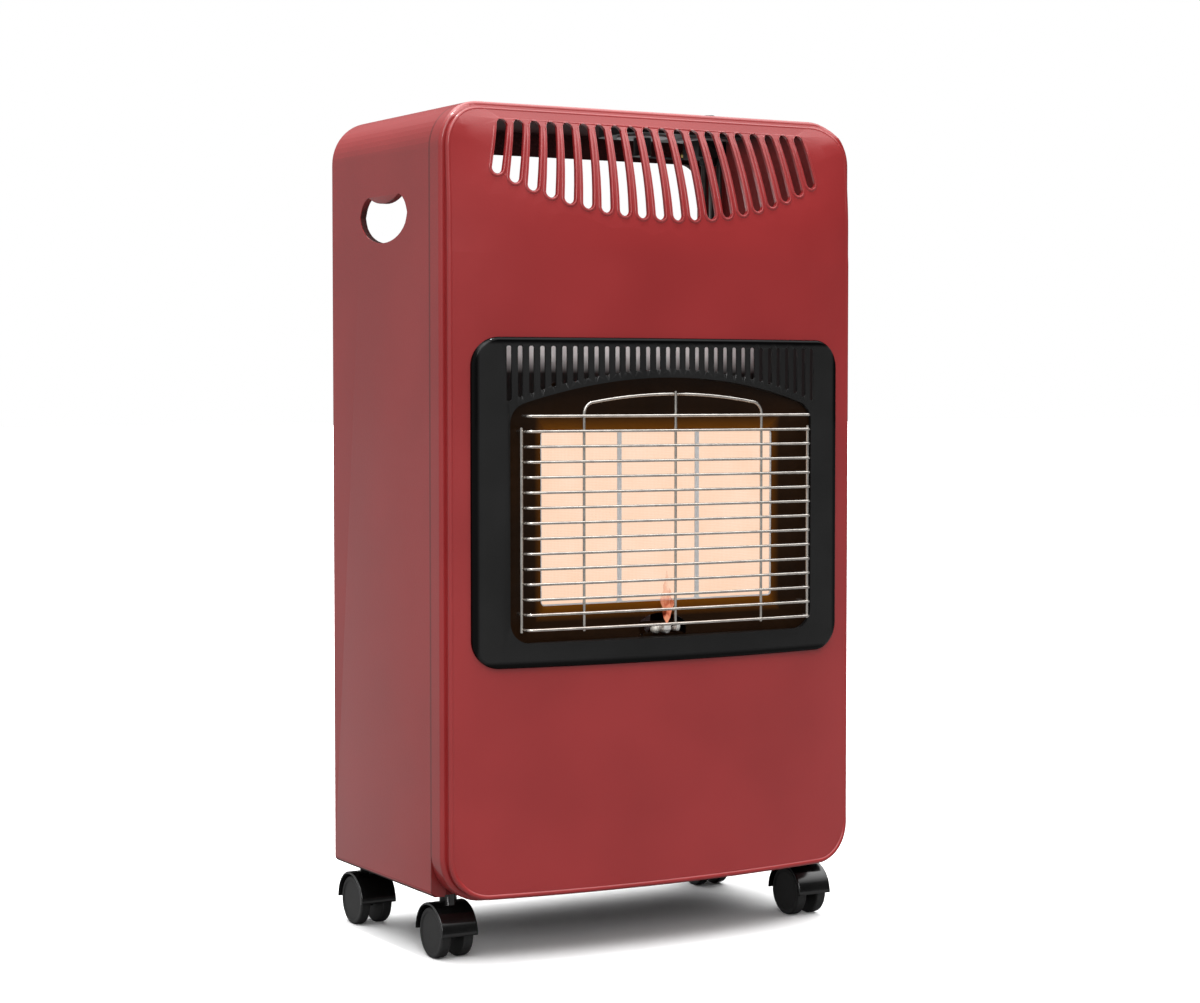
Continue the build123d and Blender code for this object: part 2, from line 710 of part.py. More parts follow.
with BuildPart() as guard_arch:
    with BuildLine(facing(arch_depth)) as arch_line:
        Line((-guard_upright_x, upright_foot), (-guard_upright_x, arch_shoulder))
        ThreePointArc((-guard_upright_x, arch_shoulder), (0, guard_top), (guard_upright_x, arch_shoulder))
        Line((guard_upright_x, arch_shoulder), (guard_upright_x, upright_foot))
        fillet(arch_line.vertices().sort_by(Axis.Z)[-2:], guard_arch_bend)
    with BuildSketch(Plane(origin=arch_line.line @ 0, z_dir=arch_line.line % 0)):
        Circle(wire_r)
    sweep()
with BuildPart() as guard_grille:
    add(guard_arch.part)
    with BuildSketch(Plane.XY.offset(upright_foot)):
        with Locations((0, seam_y - guard_front + upright_drop)):
            Circle(wire_r)
    extrude(amount=guard_top + guard_end - upright_foot)
    with BuildSketch(Plane.XY.offset(upright_foot)):
        side_y = seam_y - row_end + guard_leg - guard_end
        with Locations((-guard_w / 2 - upright_drop, side_y), (guard_w / 2 + upright_drop, side_y)):
            Circle(wire_r)
    extrude(amount=guard_side_top - upright_foot)
    for level in row_levels:
        add(guard_row.part.moved(Location((0, 0, level - row_levels[0]))))
    with BuildSketch(facing(pin_depth)):
        with Locations(*[(side * guard_w / 2, z) for side in (-1, 1) for z in pin_levels]):
            Circle(wire_r)
    extrude(amount=row_end - guard_bend_r - pin_depth)
save(guard_grille.part, "guard_grille")

# ---- burner: three plaques and their mixing boxes in one frame ----
plaque_mid = (plaque_z + plaque_top) / 2
block_w = plaque_step * (plaque_count - 1) + plaque_w
frame_w = block_w + 2 * (plaque_clear + frame_t)
frame_h = plaque_h + 2 * (plaque_clear + frame_t)
plaque_back = plaque_front - plaque_t
frame_back = plaque_back - frame_grip
ear_x = bracket_x - bracket_t / 2 - panel_seat
ear_zs = (plaque_mid - frame_ear_h / 2, plaque_mid + frame_ear_h / 2)
burner_screw_depth = (frame_back + plaque_back) / 2
with BuildPart() as burner_frame:
    slab((-frame_w / 2, frame_w / 2), (frame_back, frame_face), (plaque_mid - frame_h / 2, plaque_mid + frame_h / 2))
    fillet(burner_frame.faces().sort_by(Axis.Y)[0].edges(), frame_t)
    with BuildSketch(facing(frame_face - frame_t)):
        with Locations((0, plaque_mid)):
            Rectangle(frame_w - 2 * frame_t, frame_h - 2 * frame_t)
    extrude(amount=-crown_depth, mode=Mode.SUBTRACT)
    with BuildSketch(facing(frame_face)):
        with Locations((0, plaque_mid)):
            with GridLocations(plaque_step, 0, plaque_count, 1):
                RectangleRounded(plaque_open_w, plaque_open_h, plaque_corner_r)
    extrude(amount=-frame_t, mode=Mode.SUBTRACT)
    for side in (-1, 1):
        reach = sorted((side * (frame_w / 2 - frame_t), side * ear_x))
        slab(reach, (plaque_back - frame_t, plaque_back), ear_zs)
        tab = sorted((side * (ear_x - frame_t), side * ear_x))
        slab(tab, (frame_back, plaque_back), ear_zs)
        with Locations(
            Location(place(side * ear_x, burner_screw_depth, ear_zs[0] + frame_ear_h / 4), (0, 90, 0)),
            Location(place(side * ear_x, burner_screw_depth, ear_zs[1] - frame_ear_h / 4), (0, 90, 0)),
        ):
            Cylinder(small_screw_r + run_clear, 4 * frame_t, mode=Mode.SUBTRACT)
save(burner_frame.part, "burner_frame")

venturi_top = plaque_z - frame_lip
venturi_foot = venturi_top - venturi_h
for column, name in enumerate(("left", "centre", "right")):
    burner_x = (column - (plaque_count - 1) / 2) * plaque_step
    with BuildPart() as plaque:
        with BuildSketch(facing(plaque_back)):
            with Locations((burner_x, plaque_mid)):
                RectangleRounded(plaque_w, plaque_h, plaque_corner_r)
        extrude(amount=plaque_t - plaque_rim)
        with BuildSketch(facing(plaque_front - plaque_rim)):
            with Locations((burner_x, plaque_mid)):
                RectangleRounded(plaque_open_w - 2 * plaque_rim, plaque_open_h - 2 * plaque_rim, plaque_corner_r)
        extrude(amount=plaque_rim)
        chamfer(plaque.faces().sort_by(Axis.Y)[0].edges(), plaque_rim * 0.6)
    save(plaque.part, f"plaque_{name}")
    with BuildPart() as plenum:
        with BuildSketch(facing(plaque_back)):
            with Locations((burner_x, plaque_mid)):
                RectangleRounded(plaque_w, plaque_h, plaque_corner_r)
        extrude(amount=-plenum_depth)
        fillet(plenum.faces().sort_by(Axis.Y)[-1].edges(), plaque_corner_r)
        with Locations(place(burner_x, venturi_depth, venturi_foot)):
            Cylinder(venturi_r, venturi_h + 2 * plenum_wall, align=(Align.CENTER, Align.CENTER, Align.MIN))
            Cone(venturi_bell_r, venturi_r, venturi_bell_h, align=(Align.CENTER, Align.CENTER, Align.MAX))
        slab(
            (burner_x - plaque_w / 2 + plenum_wall, burner_x + plaque_w / 2 - plenum_wall),
            (plaque_back - plenum_depth + plenum_wall, plaque_back),
            (venturi_top + plenum_wall, venturi_top + plaque_h - plenum_wall),
            Mode.SUBTRACT,
        )
        with Locations(place(burner_x, venturi_depth, venturi_foot)):
            Cylinder(
                venturi_r - venturi_wall, venturi_h + 2 * plenum_wall,
                align=(Align.CENTER, Align.CENTER, Align.MIN), mode=Mode.SUBTRACT,
            )
            Cone(
                venturi_bell_r - venturi_wall, venturi_r - venturi_wall, venturi_bell_h,
                align=(Align.CENTER, Align.CENTER, Align.MAX), mode=Mode.SUBTRACT,
            )
    save(plenum.part, f"plenum_{name}")

# ---- brackets from the pan's flange back to the heat shield ----
foot_face = pan_face - pan_sheet - panel_seat
shield_face = -shield_back + panel_seat
bar_top = venturi_foot - venturi_bell_h - injector_gap - injector_h
leg_half = bar_w / 2 + bracket_t
bracket_zs = (plaque_z - bracket_over, plaque_top - bracket_over)
for side, name in ((-1, "left"), (1, "right")):
    plate_xs = sorted((side * (bracket_x - bracket_t / 2), side * (bracket_x + bracket_t / 2)))
    foot_xs = sorted((side * (bracket_x - bracket_t / 2), side * (window_w / 2 + pan_flange)))
    rear_xs = sorted((side * (bracket_x + bracket_t / 2), side * (shield_w / 2 - bracket_lap)))
    with BuildPart() as side_bracket:
        slab(plate_xs, (shield_face, foot_face), bracket_zs)
        slab(foot_xs, (foot_face - bracket_t, foot_face), bracket_zs)
        slab(rear_xs, (shield_face, shield_face + bracket_t), bracket_zs)
        slab(plate_xs, (venturi_depth - leg_half, venturi_depth + leg_half), (bar_top - bar_t - bracket_t, plaque_z))
        with BuildSketch(Plane.YZ.offset(plate_xs[0])):
            with Locations((seam_y - (shield_face + venturi_depth) / 2, plaque_mid)):
                SlotOverall(frame_ear_h, bracket_slot_w, rotation=90)
        extrude(amount=bracket_t, mode=Mode.SUBTRACT)
        with Locations(
            Location(place(side * bracket_x, burner_screw_depth, ear_zs[0] + frame_ear_h / 4), (0, 90, 0)),
            Location(place(side * bracket_x, burner_screw_depth, ear_zs[1] - frame_ear_h / 4), (0, 90, 0)),
        ):
            Cylinder(small_screw_r + run_clear, 2 * bracket_t, mode=Mode.SUBTRACT)
    save(side_bracket.part, f"side_bracket_{name}")

with BuildPart() as heat_shield:
    slab((-shield_w / 2, shield_w / 2), (-shield_back - shield_t, -shield_back), (shield_z, shield_top_z))
    slab((-shield_w / 2, shield_w / 2), (-shield_back - shield_fold, -shield_back), (shield_z, shield_z + shield_t))
    fold_zs = (shield_top_z - shield_t, shield_top_z)
    slab((-shield_w / 2, shield_w / 2), (-shield_back - shield_fold, -shield_back), fold_zs)
    with BuildSketch(facing(-shield_back - shield_t)):
        with Locations((0, (shield_z + shield_top_z) / 2)):
            with GridLocations(shield_w / 2, 0, 2, 1):
                SlotOverall((shield_top_z - shield_z) * 0.8, shield_bead_w, rotation=90)
    extrude(amount=-shield_t)
save(heat_shield.part, "heat_shield")

# ---- injector bar under the mixing tubes ----
jet_places = [place((k - (plaque_count - 1) / 2) * plaque_step, venturi_depth, bar_top) for k in range(plaque_count)]
with BuildPart() as injector_bar:
    slab((-ear_x, ear_x), (venturi_depth - bar_w / 2, venturi_depth + bar_w / 2), (bar_top - bar_t, bar_top))
    for side in (-1, 1):
        end_xs = sorted((side * (ear_x - bar_t), side * ear_x))
        slab(end_xs, (venturi_depth - bar_w / 2, venturi_depth + bar_w / 2), (bar_top - bar_t, bar_top + bar_w))
    with Locations(*jet_places):
        Cylinder(injector_shank_r + run_clear, 3 * bar_t, mode=Mode.SUBTRACT)
save(injector_bar.part, "injector_bar")

with BuildPart() as injectors:
    with BuildSketch(Plane.XY.offset(bar_top)):
        with Locations(*[(x, y) for x, y, z in jet_places]):
            RegularPolygon(injector_af / 2, 6, major_radius=False)
    extrude(amount=injector_h * 2 / 3)
    with Locations(*jet_places):
        with Locations((0, 0, injector_h * 2 / 3)):
            Cone(
                injector_af / 2, injector_shank_r / 2, injector_h / 3,
                align=(Align.CENTER, Align.CENTER, Align.MIN),
            )
        Cylinder(injector_shank_r, bar_t + bracket_t, align=(Align.CENTER, Align.CENTER, Align.MAX))
save(injectors.part, "injectors")

# ---- pilot: burner, thermocouple and spark electrode side by side through the notch ----
tongue_z = window_z + notch_foot + pan_sheet
pilot_z = tongue_z + bracket_t + pilot_r + run_clear
pilot_tip = bezel_z + pilot_rise
plate_face = pilot_front - pilot_reach
stick_back = plate_face - stick_tail
with BuildPart() as pilot_bracket:
    half = notch_w / 2 - bracket_t * 3
    slab((-half, half), (foot_face - bracket_t, foot_face), (tongue_z - bracket_lap, tongue_z + bracket_t))
    slab((-half, half), (plate_face - bracket_t, foot_face), (tongue_z, tongue_z + bracket_t))
    slab((-half, half), (plate_face - bracket_t, plate_face), (tongue_z, pilot_z + 2 * pilot_r))
    with BuildSketch(facing(plate_face)):
        with Locations((0, pilot_z)):
            Circle(pilot_r + run_clear)
        with Locations((probe_x, pilot_z)):
            Circle(probe_r + run_clear)
        with Locations((-electrode_x, pilot_z)):
            Circle(insulator_r + run_clear)
    extrude(amount=-bracket_t, mode=Mode.SUBTRACT)
save(pilot_bracket.part, "pilot_bracket")

with BuildPart() as pilot_burner:
    with BuildSketch(facing(stick_back)):
        with Locations((0, pilot_z)):
            Circle(pilot_r)
    extrude(amount=pilot_front - stick_back)
    with BuildSketch(Plane.XY.offset(pilot_z)):
        with Locations((0, seam_y - pilot_front)):
            Circle(pilot_r + bracket_t / 2)
    extrude(amount=pilot_tip - pilot_z)
    with BuildSketch(Plane.XY.offset(pilot_tip)):
        with Locations((0, seam_y - pilot_front)):
            Circle(pilot_r - bracket_t / 2)
    extrude(amount=-pilot_r, mode=Mode.SUBTRACT)
save(pilot_burner.part, "pilot_burner")

probe_path = [place(probe_x, d, pilot_z) for d in (stick_back, pilot_front)] + [place(probe_x, pilot_front, pilot_tip)]
save(wire(probe_path, probe_r, 2 * probe_r, "thermocouple"), "thermocouple")

spark_path = [
    place(-electrode_x, stick_back, pilot_z),
    place(-electrode_x, pilot_front, pilot_z),
    place(-electrode_x + pilot_r / 2, pilot_front, pilot_tip),
]
with BuildPart() as spark_electrode:
    add(wire(spark_path, electrode_r, 2 * electrode_r, "rod"))
    with BuildSketch(facing(stick_back + bracket_t)):
        with Locations((-electrode_x, pilot_z)):
            Circle(insulator_r)
    extrude(amount=pilot_reach)
save(spark_electrode.part, "spark_electrode")

# ---- controls: a black insert sunk in the cabinet top, with the gas knob and the igniter ----
well_z = top_z - well_depth
disc_top = well_z - well_floor - panel_seat
valve_top = disc_top - disc_t - panel_seat
knob_x = control_x + control_spacing / 2
button_x = control_x - control_spacing / 2
with BuildPart() as control_panel:
    with BuildSketch(Plane.XY.offset(top_z + panel_seat)):
        with Locations((control_x, control_y)):
            RectangleRounded(control_w + 2 * control_lap, control_d + 2 * control_lap, control_corner_r + control_lap)
    extrude(amount=control_plate_t)
    fillet(control_panel.faces().sort_by(Axis.Z)[-1].edges(), control_plate_t * 0.6)
    with BuildSketch(Plane.XY.offset(well_z - well_floor)):
        with Locations((control_x, control_y)):
            RectangleRounded(control_w, control_d, control_corner_r)
    extrude(amount=top_z + panel_seat - well_z + well_floor)
    with BuildSketch(Plane.XY.offset(well_z)):
        with Locations((control_x, control_y)):
            RectangleRounded(control_w - 2 * well_floor, control_d - 2 * well_floor, control_corner_r - well_floor)
    extrude(amount=3 * well_depth, mode=Mode.SUBTRACT)
    with BuildSketch(Plane.XY.offset(well_z)):
        with Locations((button_x, control_y)):
            Circle(collar_r)
    extrude(amount=collar_h)
    with BuildSketch(Plane.XY.offset(well_z)):
        with Locations((button_x, control_y)):
            Circle(button_r + move_clear)
    extrude(amount=collar_h, mode=Mode.SUBTRACT)
    with Locations((knob_x, control_y, well_z), (button_x, control_y, well_z)):
        Cylinder(neck_hole_r + run_clear, 3 * well_floor, mode=Mode.SUBTRACT)
save(control_panel.part, "control_panel")

with BuildPart() as backing_discs:
    with BuildSketch(Plane.XY.offset(disc_top)):
        with Locations((knob_x, control_y), (button_x, control_y)):
            Circle(disc_r)
            Circle(neck_hole_r + run_clear, mode=Mode.SUBTRACT)
    extrude(amount=-disc_t)
save(backing_discs.part, "backing_discs")

ports = {
    "right": (port_x + port_step, control_y - port_step * 2 / 3),
    "centre": (port_x, control_y + port_step * 2 / 3),
    "left": (port_x + port_step, control_y + port_step * 2 / 3),
    "pilot": (port_x, control_y - port_step * 2 / 3),
    "lead": (port_x + port_step / 2, control_y),
}
valve_z = valve_top - valve_h
chamber_top = valve_z + chamber_rise + plunger_h + knob_push
with BuildPart() as valve_body:
    with BuildSketch(Plane.XY.offset(valve_z)):
        with Locations((knob_x + valve_shift, control_y)):
            RectangleRounded(valve_w, valve_d, plaque_corner_r)
    extrude(amount=valve_h)
    with BuildSketch(Plane.XY.offset(valve_top)):
        with Locations((knob_x, control_y)):
            Circle(neck_hole_r)
    extrude(amount=well_z - valve_top)
    with BuildSketch(Plane.XY.offset(valve_z)):
        with Locations(*[spot for name, spot in ports.items() if name != "lead"]):
            RegularPolygon(port_nut_af / 2, 6, major_radius=False)
            Circle(pipe_r + run_clear, mode=Mode.SUBTRACT)
    extrude(amount=-port_nut_h)
    with BuildSketch(Plane.XY.offset(chamber_top)):
        with Locations((knob_x, control_y)):
            Circle(plunger_r + run_clear)
    extrude(amount=-plunger_h - knob_push - move_clear, mode=Mode.SUBTRACT)
    with BuildSketch(Plane.XY.offset(chamber_top)):
        with Locations((knob_x, control_y)):
            Circle(spindle_r + run_clear)
    extrude(amount=well_z - chamber_top, mode=Mode.SUBTRACT)
save(valve_body.part, "valve_body")

with BuildPart() as valve_plunger:
    with BuildSketch(Plane.XY.offset(chamber_top - plunger_h)):
        with Locations((knob_x, control_y)):
            Circle(plunger_r)
    extrude(amount=plunger_h - panel_seat)
    chamfer(valve_plunger.edges().filter_by(GeomType.CIRCLE), plunger_r / 8)
save(valve_plunger.part, "valve_plunger")

knob_z = well_z + knob_push + move_clear
with BuildPart() as valve_spindle:
    with BuildSketch(Plane.XY.offset(chamber_top)):
        with Locations((knob_x, control_y)):
            Circle(spindle_r)
    extrude(amount=knob_z + knob_skirt_h + spindle_grip - chamber_top)
save(valve_spindle.part, "valve_spindle")

with BuildPart() as control_knob:
    with BuildSketch(Plane.XY.offset(knob_z)):
        with Locations((knob_x, control_y)):
            Circle(knob_r)
    extrude(amount=knob_skirt_h)
    fillet(control_knob.edges().sort_by(Axis.Z)[-1:], knob_skirt_h / 3)
    with BuildSketch(Plane.XY.offset(knob_z + knob_skirt_h)):
        with Locations((knob_x, control_y)):
            SlotOverall(2 * knob_r - knob_skirt_h, knob_grip_w, rotation=90)
    extrude(amount=knob_h - knob_skirt_h)
    fillet(control_knob.faces().sort_by(Axis.Z)[-1].edges(), knob_skirt_h / 4)
    with BuildSketch(Plane.XY.offset(knob_z + knob_h)):
        with Locations((knob_x, control_y - knob_r / 2)):
            SlotOverall(knob_r / 2, knob_grip_w / 6, rotation=90)
    extrude(amount=-well_floor / 4, mode=Mode.SUBTRACT)
    with BuildSketch(Plane.XY.offset(knob_z)):
        with Locations((knob_x, control_y)):
            Circle(spindle_r + run_clear)
    extrude(amount=knob_skirt_h + spindle_grip + run_clear, mode=Mode.SUBTRACT)
save(control_knob.part, "control_knob")

button_z = well_z + button_push + move_clear
with BuildPart() as igniter_button:
    with BuildSketch(Plane.XY.offset(button_z)):
        with Locations((button_x, control_y)):
            Circle(button_r)
    extrude(amount=button_h)
    fillet(igniter_button.edges().sort_by(Axis.Z)[-1:], button_r / 5)
    with BuildSketch(Plane.XY.offset(button_z)):
        with Locations((button_x, control_y)):
            Circle(spindle_r)
    extrude(amount=-button_h)
save(igniter_button.part, "igniter_button")

with BuildPart() as igniter_body:
    with BuildSketch(Plane.XY.offset(valve_top)):
        with Locations((button_x, control_y)):
            Circle(igniter_r)
    extrude(amount=-igniter_h)
    with BuildSketch(Plane.XY.offset(valve_top)):
        with Locations((button_x, control_y)):
            Circle(neck_hole_r)
    extrude(amount=well_z - valve_top)
    with BuildSketch(Plane.XY.offset(well_z)):
        with Locations((button_x, control_y)):
            Circle(spindle_r + run_clear)
    extrude(amount=-button_h - move_clear * 2, mode=Mode.SUBTRACT)
save(igniter_body.part, "igniter_body")

# ---- gas inlet: a ribbed hose tail at the back of the valve ----
inlet_z = valve_z + inlet_hex_af / 2 + bracket_t
inlet_face = control_y + valve_d / 2
inlet_x = knob_x + valve_shift + valve_w / 2 - inlet_hex_af / 2 - bracket_t
with BuildPart() as gas_inlet:
    with BuildSketch(Plane.XZ.offset(-inlet_face)):
        with Locations((inlet_x, inlet_z)):
            RegularPolygon(inlet_hex_af / 2, 6, major_radius=False)
    extrude(amount=-inlet_hex_h)
    with BuildSketch(Plane.XZ.offset(-inlet_face - inlet_hex_h)):
        with Locations((inlet_x, inlet_z)):
            Circle(inlet_r)
    extrude(amount=-inlet_length)
    for rib in range(inlet_ribs):
        rib_y = inlet_face + inlet_hex_h + inlet_length * (rib + 1.2) / (inlet_ribs + 0.5)
        with Locations(Location((inlet_x, rib_y, inlet_z), (90, 0, 0))):
            Cone(
                inlet_r - run_clear, inlet_r + inlet_rib, inlet_length / inlet_ribs / 2,
                align=(Align.CENTER, Align.CENTER, Align.MIN),
            )
    with BuildSketch(Plane.XZ.offset(-inlet_face - inlet_hex_h - inlet_length)):
        with Locations((inlet_x, inlet_z)):
            Circle(inlet_r / 2)
    extrude(amount=inlet_length, mode=Mode.SUBTRACT)
save(gas_inlet.part, "gas_inlet")

# ---- pipes and leads, down behind the heat shield and forward under it ----
jet_foot = bar_top - bar_t - bracket_t
for column, name in enumerate(("left", "centre", "right")):
    port_at = ports[name]
    jet_x, jet_y, jet_z = jet_places[column]
    run_z = jet_foot - pipe_drop - (plaque_count - 1 - column) * pipe_level_step
    tube = [
        (*port_at, valve_z),
        (*port_at, run_z),
        (jet_x, port_at[1], run_z),
        (jet_x, jet_y, run_z),
        (jet_x, jet_y, jet_foot),
    ]
    save(wire(tube, pipe_r, pipe_bend, name), f"burner_tube_{name}")

pilot_run_z = bar_top - bar_t - pilot_drop
pilot_drop_y = seam_y - stick_back + 2.5 * pilot_pipe_r
pilot_points = [
    (*ports["pilot"], valve_z),
    (*ports["pilot"], pilot_run_z),
    (pilot_turn_x, ports["pilot"][1], pilot_run_z),
    (pilot_turn_x, pilot_drop_y, pilot_run_z),
    (0, pilot_drop_y, pilot_run_z),
    (0, pilot_drop_y, pilot_z),
    (0, seam_y - stick_back, pilot_z),
]
save(wire(pilot_points, pilot_pipe_r, 2 * pilot_pipe_r, "pilot"), "pilot_tube")

lead_run_z = bar_top + bar_t
lead_points = [
    (*ports["lead"], valve_z),
    (*ports["lead"], lead_run_z),
    (lead_turn_x, ports["lead"][1], lead_run_z),
    (lead_turn_x, pilot_drop_y, lead_run_z),
    (probe_x, pilot_drop_y, lead_run_z),
    (probe_x, pilot_drop_y, pilot_z),
    (probe_x, seam_y - stick_back, pilot_z),
]
save(wire(lead_points, lead_r, 4 * lead_r, "lead"), "thermocouple_lead")

spark_z = valve_top - igniter_h + 2 * lead_r
spark_run_y = inlet_face + inlet_hex_h + lead_r + move_clear
spark_points = [
    (button_x, control_y + igniter_r, spark_z),
    (button_x, spark_run_y, spark_z),
    (spark_drop_x, spark_run_y, spark_z),
    (spark_drop_x, spark_run_y, pilot_run_z),
    (-electrode_x, spark_run_y, pilot_run_z),
    (-electrode_x, pilot_drop_y, pilot_run_z),
    (-electrode_x, pilot_drop_y, pilot_z),
    (-electrode_x, seam_y - stick_back, pilot_z),
]
save(wire(spark_points, lead_r, 4 * lead_r, "spark"), "ignition_lead")

# ---- small screws: module to bezel, and burner frame to the side brackets ----
with BuildPart() as burner_screws:
    with BuildSketch(facing(pan_face - pan_sheet)):
        with Locations(*posts):
            Circle(small_head_r)
    extrude(amount=-small_head_h)
    with BuildSketch(facing(pan_face - pan_sheet)):
        with Locations(*posts):
            Circle(small_screw_r - run_clear)
    extrude(amount=small_screw_l)
    for side in (-1, 1):
        for z in (ear_zs[0] + frame_ear_h / 4, ear_zs[1] - frame_ear_h / 4):
            head_x = side * (bracket_x + bracket_t / 2)
            with Locations(Location(place(head_x, burner_screw_depth, z), (0, side * 90, 0))):
                Cylinder(small_head_r, small_head_h, align=(Align.CENTER, Align.CENTER, Align.MIN))
                Cylinder(small_screw_r, small_screw_l, align=(Align.CENTER, Align.CENTER, Align.MAX))
save(burner_screws.part, "burner_screws")

# ---- castors: a hooded twin-wheel castor at each corner, its stem turning in the socket ----
neck_top = floor_z - move_clear
web_half = hood_web / 2
for row, stem_y in (("front", stem_ys[0]), ("rear", stem_ys[1])):
    for side, hand in ((-1, "left"), (1, "right")):
        stem_x_here = side * stem_x
        plan = Plane(origin=(stem_x_here, stem_y + trail, wheel_r), x_dir=(0, 1, 0), z_dir=(1, 0, 0))
        with BuildPart() as hood:
            with BuildSketch(plan):
                Circle(hood_r)
                Rectangle(4 * hood_r, 2 * hood_r, align=(Align.CENTER, Align.MAX), mode=Mode.SUBTRACT)
            extrude(amount=hood_w / 2, both=True)
            fillet(hood.edges().filter_by(GeomType.CIRCLE), hood_wall * 0.6)
            with BuildSketch(plan):
                Circle(hood_in_r)
            extrude(amount=hood_w, both=True, mode=Mode.SUBTRACT)
            with BuildSketch(plan):
                Circle(hood_in_r + hood_wall / 2)
                Rectangle(4 * hood_r, 2 * hood_r, align=(Align.CENTER, Align.MAX), mode=Mode.SUBTRACT)
                Circle(hub_r + hood_wall)
            extrude(amount=web_half, both=True)
            with BuildSketch(Plane.XY.offset(neck_top)):
                with Locations((stem_x_here, stem_y)):
                    Circle(neck_r)
            extrude(amount=-(neck_top - wheel_r - hood_in_r))
            with BuildSketch(Plane.XY.offset(neck_top)):
                with Locations((stem_x_here, stem_y)):
                    Circle(stem_r + run_clear)
            extrude(amount=-stem_grip, mode=Mode.SUBTRACT)
            with BuildSketch(plan):
                Circle(axle_r + run_clear)
            extrude(amount=hood_w, both=True, mode=Mode.SUBTRACT)
        save(hood.part, f"castor_{row}_{hand}_hood")
        with BuildPart() as stem:
            with BuildSketch(Plane.XY.offset(neck_top - stem_grip + run_clear)):
                with Locations((stem_x_here, stem_y)):
                    Circle(stem_r)
            extrude(amount=stem_grip + socket_h - socket_wall)
            chamfer(stem.edges().filter_by(GeomType.CIRCLE), stem_r / 5)
        save(stem.part, f"castor_{row}_{hand}_stem")
        with BuildPart() as axle:
            with BuildSketch(plan):
                Circle(axle_r)
            extrude(amount=castor_w / 2 - axle_cap - move_clear, both=True)
        save(axle.part, f"castor_{row}_{hand}_axle")
        for end, spot in ((side, "outer"), (-side, "inner")):
            near = wheel_gap / 2
            with BuildPart() as wheel:
                with BuildSketch(plan.offset(end * near)):
                    Circle(wheel_r)
                extrude(amount=end * wheel_w)
                fillet(wheel.edges().filter_by(GeomType.CIRCLE), wheel_round)
                with BuildSketch(plan.offset(end * (near + wheel_w))):
                    Circle(wheel_r - 2.5 * wheel_round)
                extrude(amount=-end * wheel_recess, mode=Mode.SUBTRACT)
                with BuildSketch(plan.offset(end * (web_half + move_clear))):
                    Circle(hub_r)
                extrude(amount=end * (near - web_half))
                with BuildSketch(plan.offset(end * web_half)):
                    Circle(axle_r + run_clear)
                extrude(amount=end * (castor_w / 2 - axle_cap - web_half), mode=Mode.SUBTRACT)
            save(wheel.part, f"castor_{row}_{hand}_wheel_{spot}")
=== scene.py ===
import bpy
import json
from math import cos, pi, radians, sin, sqrt
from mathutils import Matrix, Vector

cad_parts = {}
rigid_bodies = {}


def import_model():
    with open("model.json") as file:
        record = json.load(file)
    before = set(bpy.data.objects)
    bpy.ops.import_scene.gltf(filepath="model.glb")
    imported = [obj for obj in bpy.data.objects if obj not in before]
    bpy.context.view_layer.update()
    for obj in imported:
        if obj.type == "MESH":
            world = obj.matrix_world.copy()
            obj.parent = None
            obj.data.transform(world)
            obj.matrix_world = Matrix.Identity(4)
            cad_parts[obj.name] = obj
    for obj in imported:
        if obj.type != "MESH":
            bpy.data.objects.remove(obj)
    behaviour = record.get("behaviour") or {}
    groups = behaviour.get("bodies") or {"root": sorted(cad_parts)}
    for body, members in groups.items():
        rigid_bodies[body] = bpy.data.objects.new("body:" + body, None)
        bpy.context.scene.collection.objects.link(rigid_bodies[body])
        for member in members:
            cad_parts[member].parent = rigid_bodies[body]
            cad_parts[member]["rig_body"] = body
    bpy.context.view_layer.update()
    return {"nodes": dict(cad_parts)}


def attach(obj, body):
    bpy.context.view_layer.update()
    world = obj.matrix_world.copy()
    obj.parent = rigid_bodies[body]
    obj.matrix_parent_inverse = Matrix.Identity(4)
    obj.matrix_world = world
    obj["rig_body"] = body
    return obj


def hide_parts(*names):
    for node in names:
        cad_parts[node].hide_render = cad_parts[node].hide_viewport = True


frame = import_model()


# ---- Cabinet body ----
# One sheet of cold-rolled steel folded into both sides and the top, with turned flanges at the front
# and the back and a pressed grip in each side. It is powder coated red. Its inner faces are painted
# dark red as shade, darkest low down, with painted light high on the side walls, and a painted shadow
# runs along the seam with the front panel.
class Value:
    """A number or colour that varies over a surface, with its arithmetic written as Python."""

    def __init__(self, nodes, socket):
        self.nodes = nodes
        self.socket = socket

    def math(self, operation, *others):
        return self.nodes.node("ShaderNodeMath", {"operation": operation}, dict(enumerate((self, *others))))

    def __add__(self, other):
        return self.math("ADD", other)

    def __mul__(self, other):
        return self.math("MULTIPLY", other)

    def __sub__(self, other):
        return self.math("SUBTRACT", other)

    def __rsub__(self, other):
        return self.nodes.node("ShaderNodeMath", {"operation": "SUBTRACT"}, {0: other, 1: self})

    __radd__ = __add__
    __rmul__ = __mul__

    def clipped(self, low, high, first=0.0, last=1.0):
        """`first` below `low`, `last` above `high`, and even between."""
        ramp = {0: self, 1: low, 2: high, 3: first, 4: last}
        return self.nodes.node("ShaderNodeMapRange", {"clamp": True}, ramp)


def rgb(red, green, blue):
    """A colour as it is seen, 0 to 255, turned into the light values that Blender works in."""
    seen = [part / 255 for part in (red, green, blue)]
    light = [((part + 0.055) / 1.055) ** 2.4 if part > 0.04045 else part / 12.92 for part in seen]
    return (*light, 1)


class NodeTree:
    """Shader nodes, each made with its settings, its inputs and the output that is wanted."""

    def __init__(self, tree):
        self.tree = tree

    def node(self, kind, settings=None, inputs=None, output=0):
        made = self.tree.nodes.new(kind)
        for key, value in (settings or {}).items():
            setattr(made, key, value)
        for key, value in (inputs or {}).items():
            self.feed(made.inputs[key], value)
        return Value(self, made.outputs[output])

    def feed(self, socket, value):
        if isinstance(value, Value):
            self.tree.links.new(value.socket, socket)
        else:
            socket.default_value = value


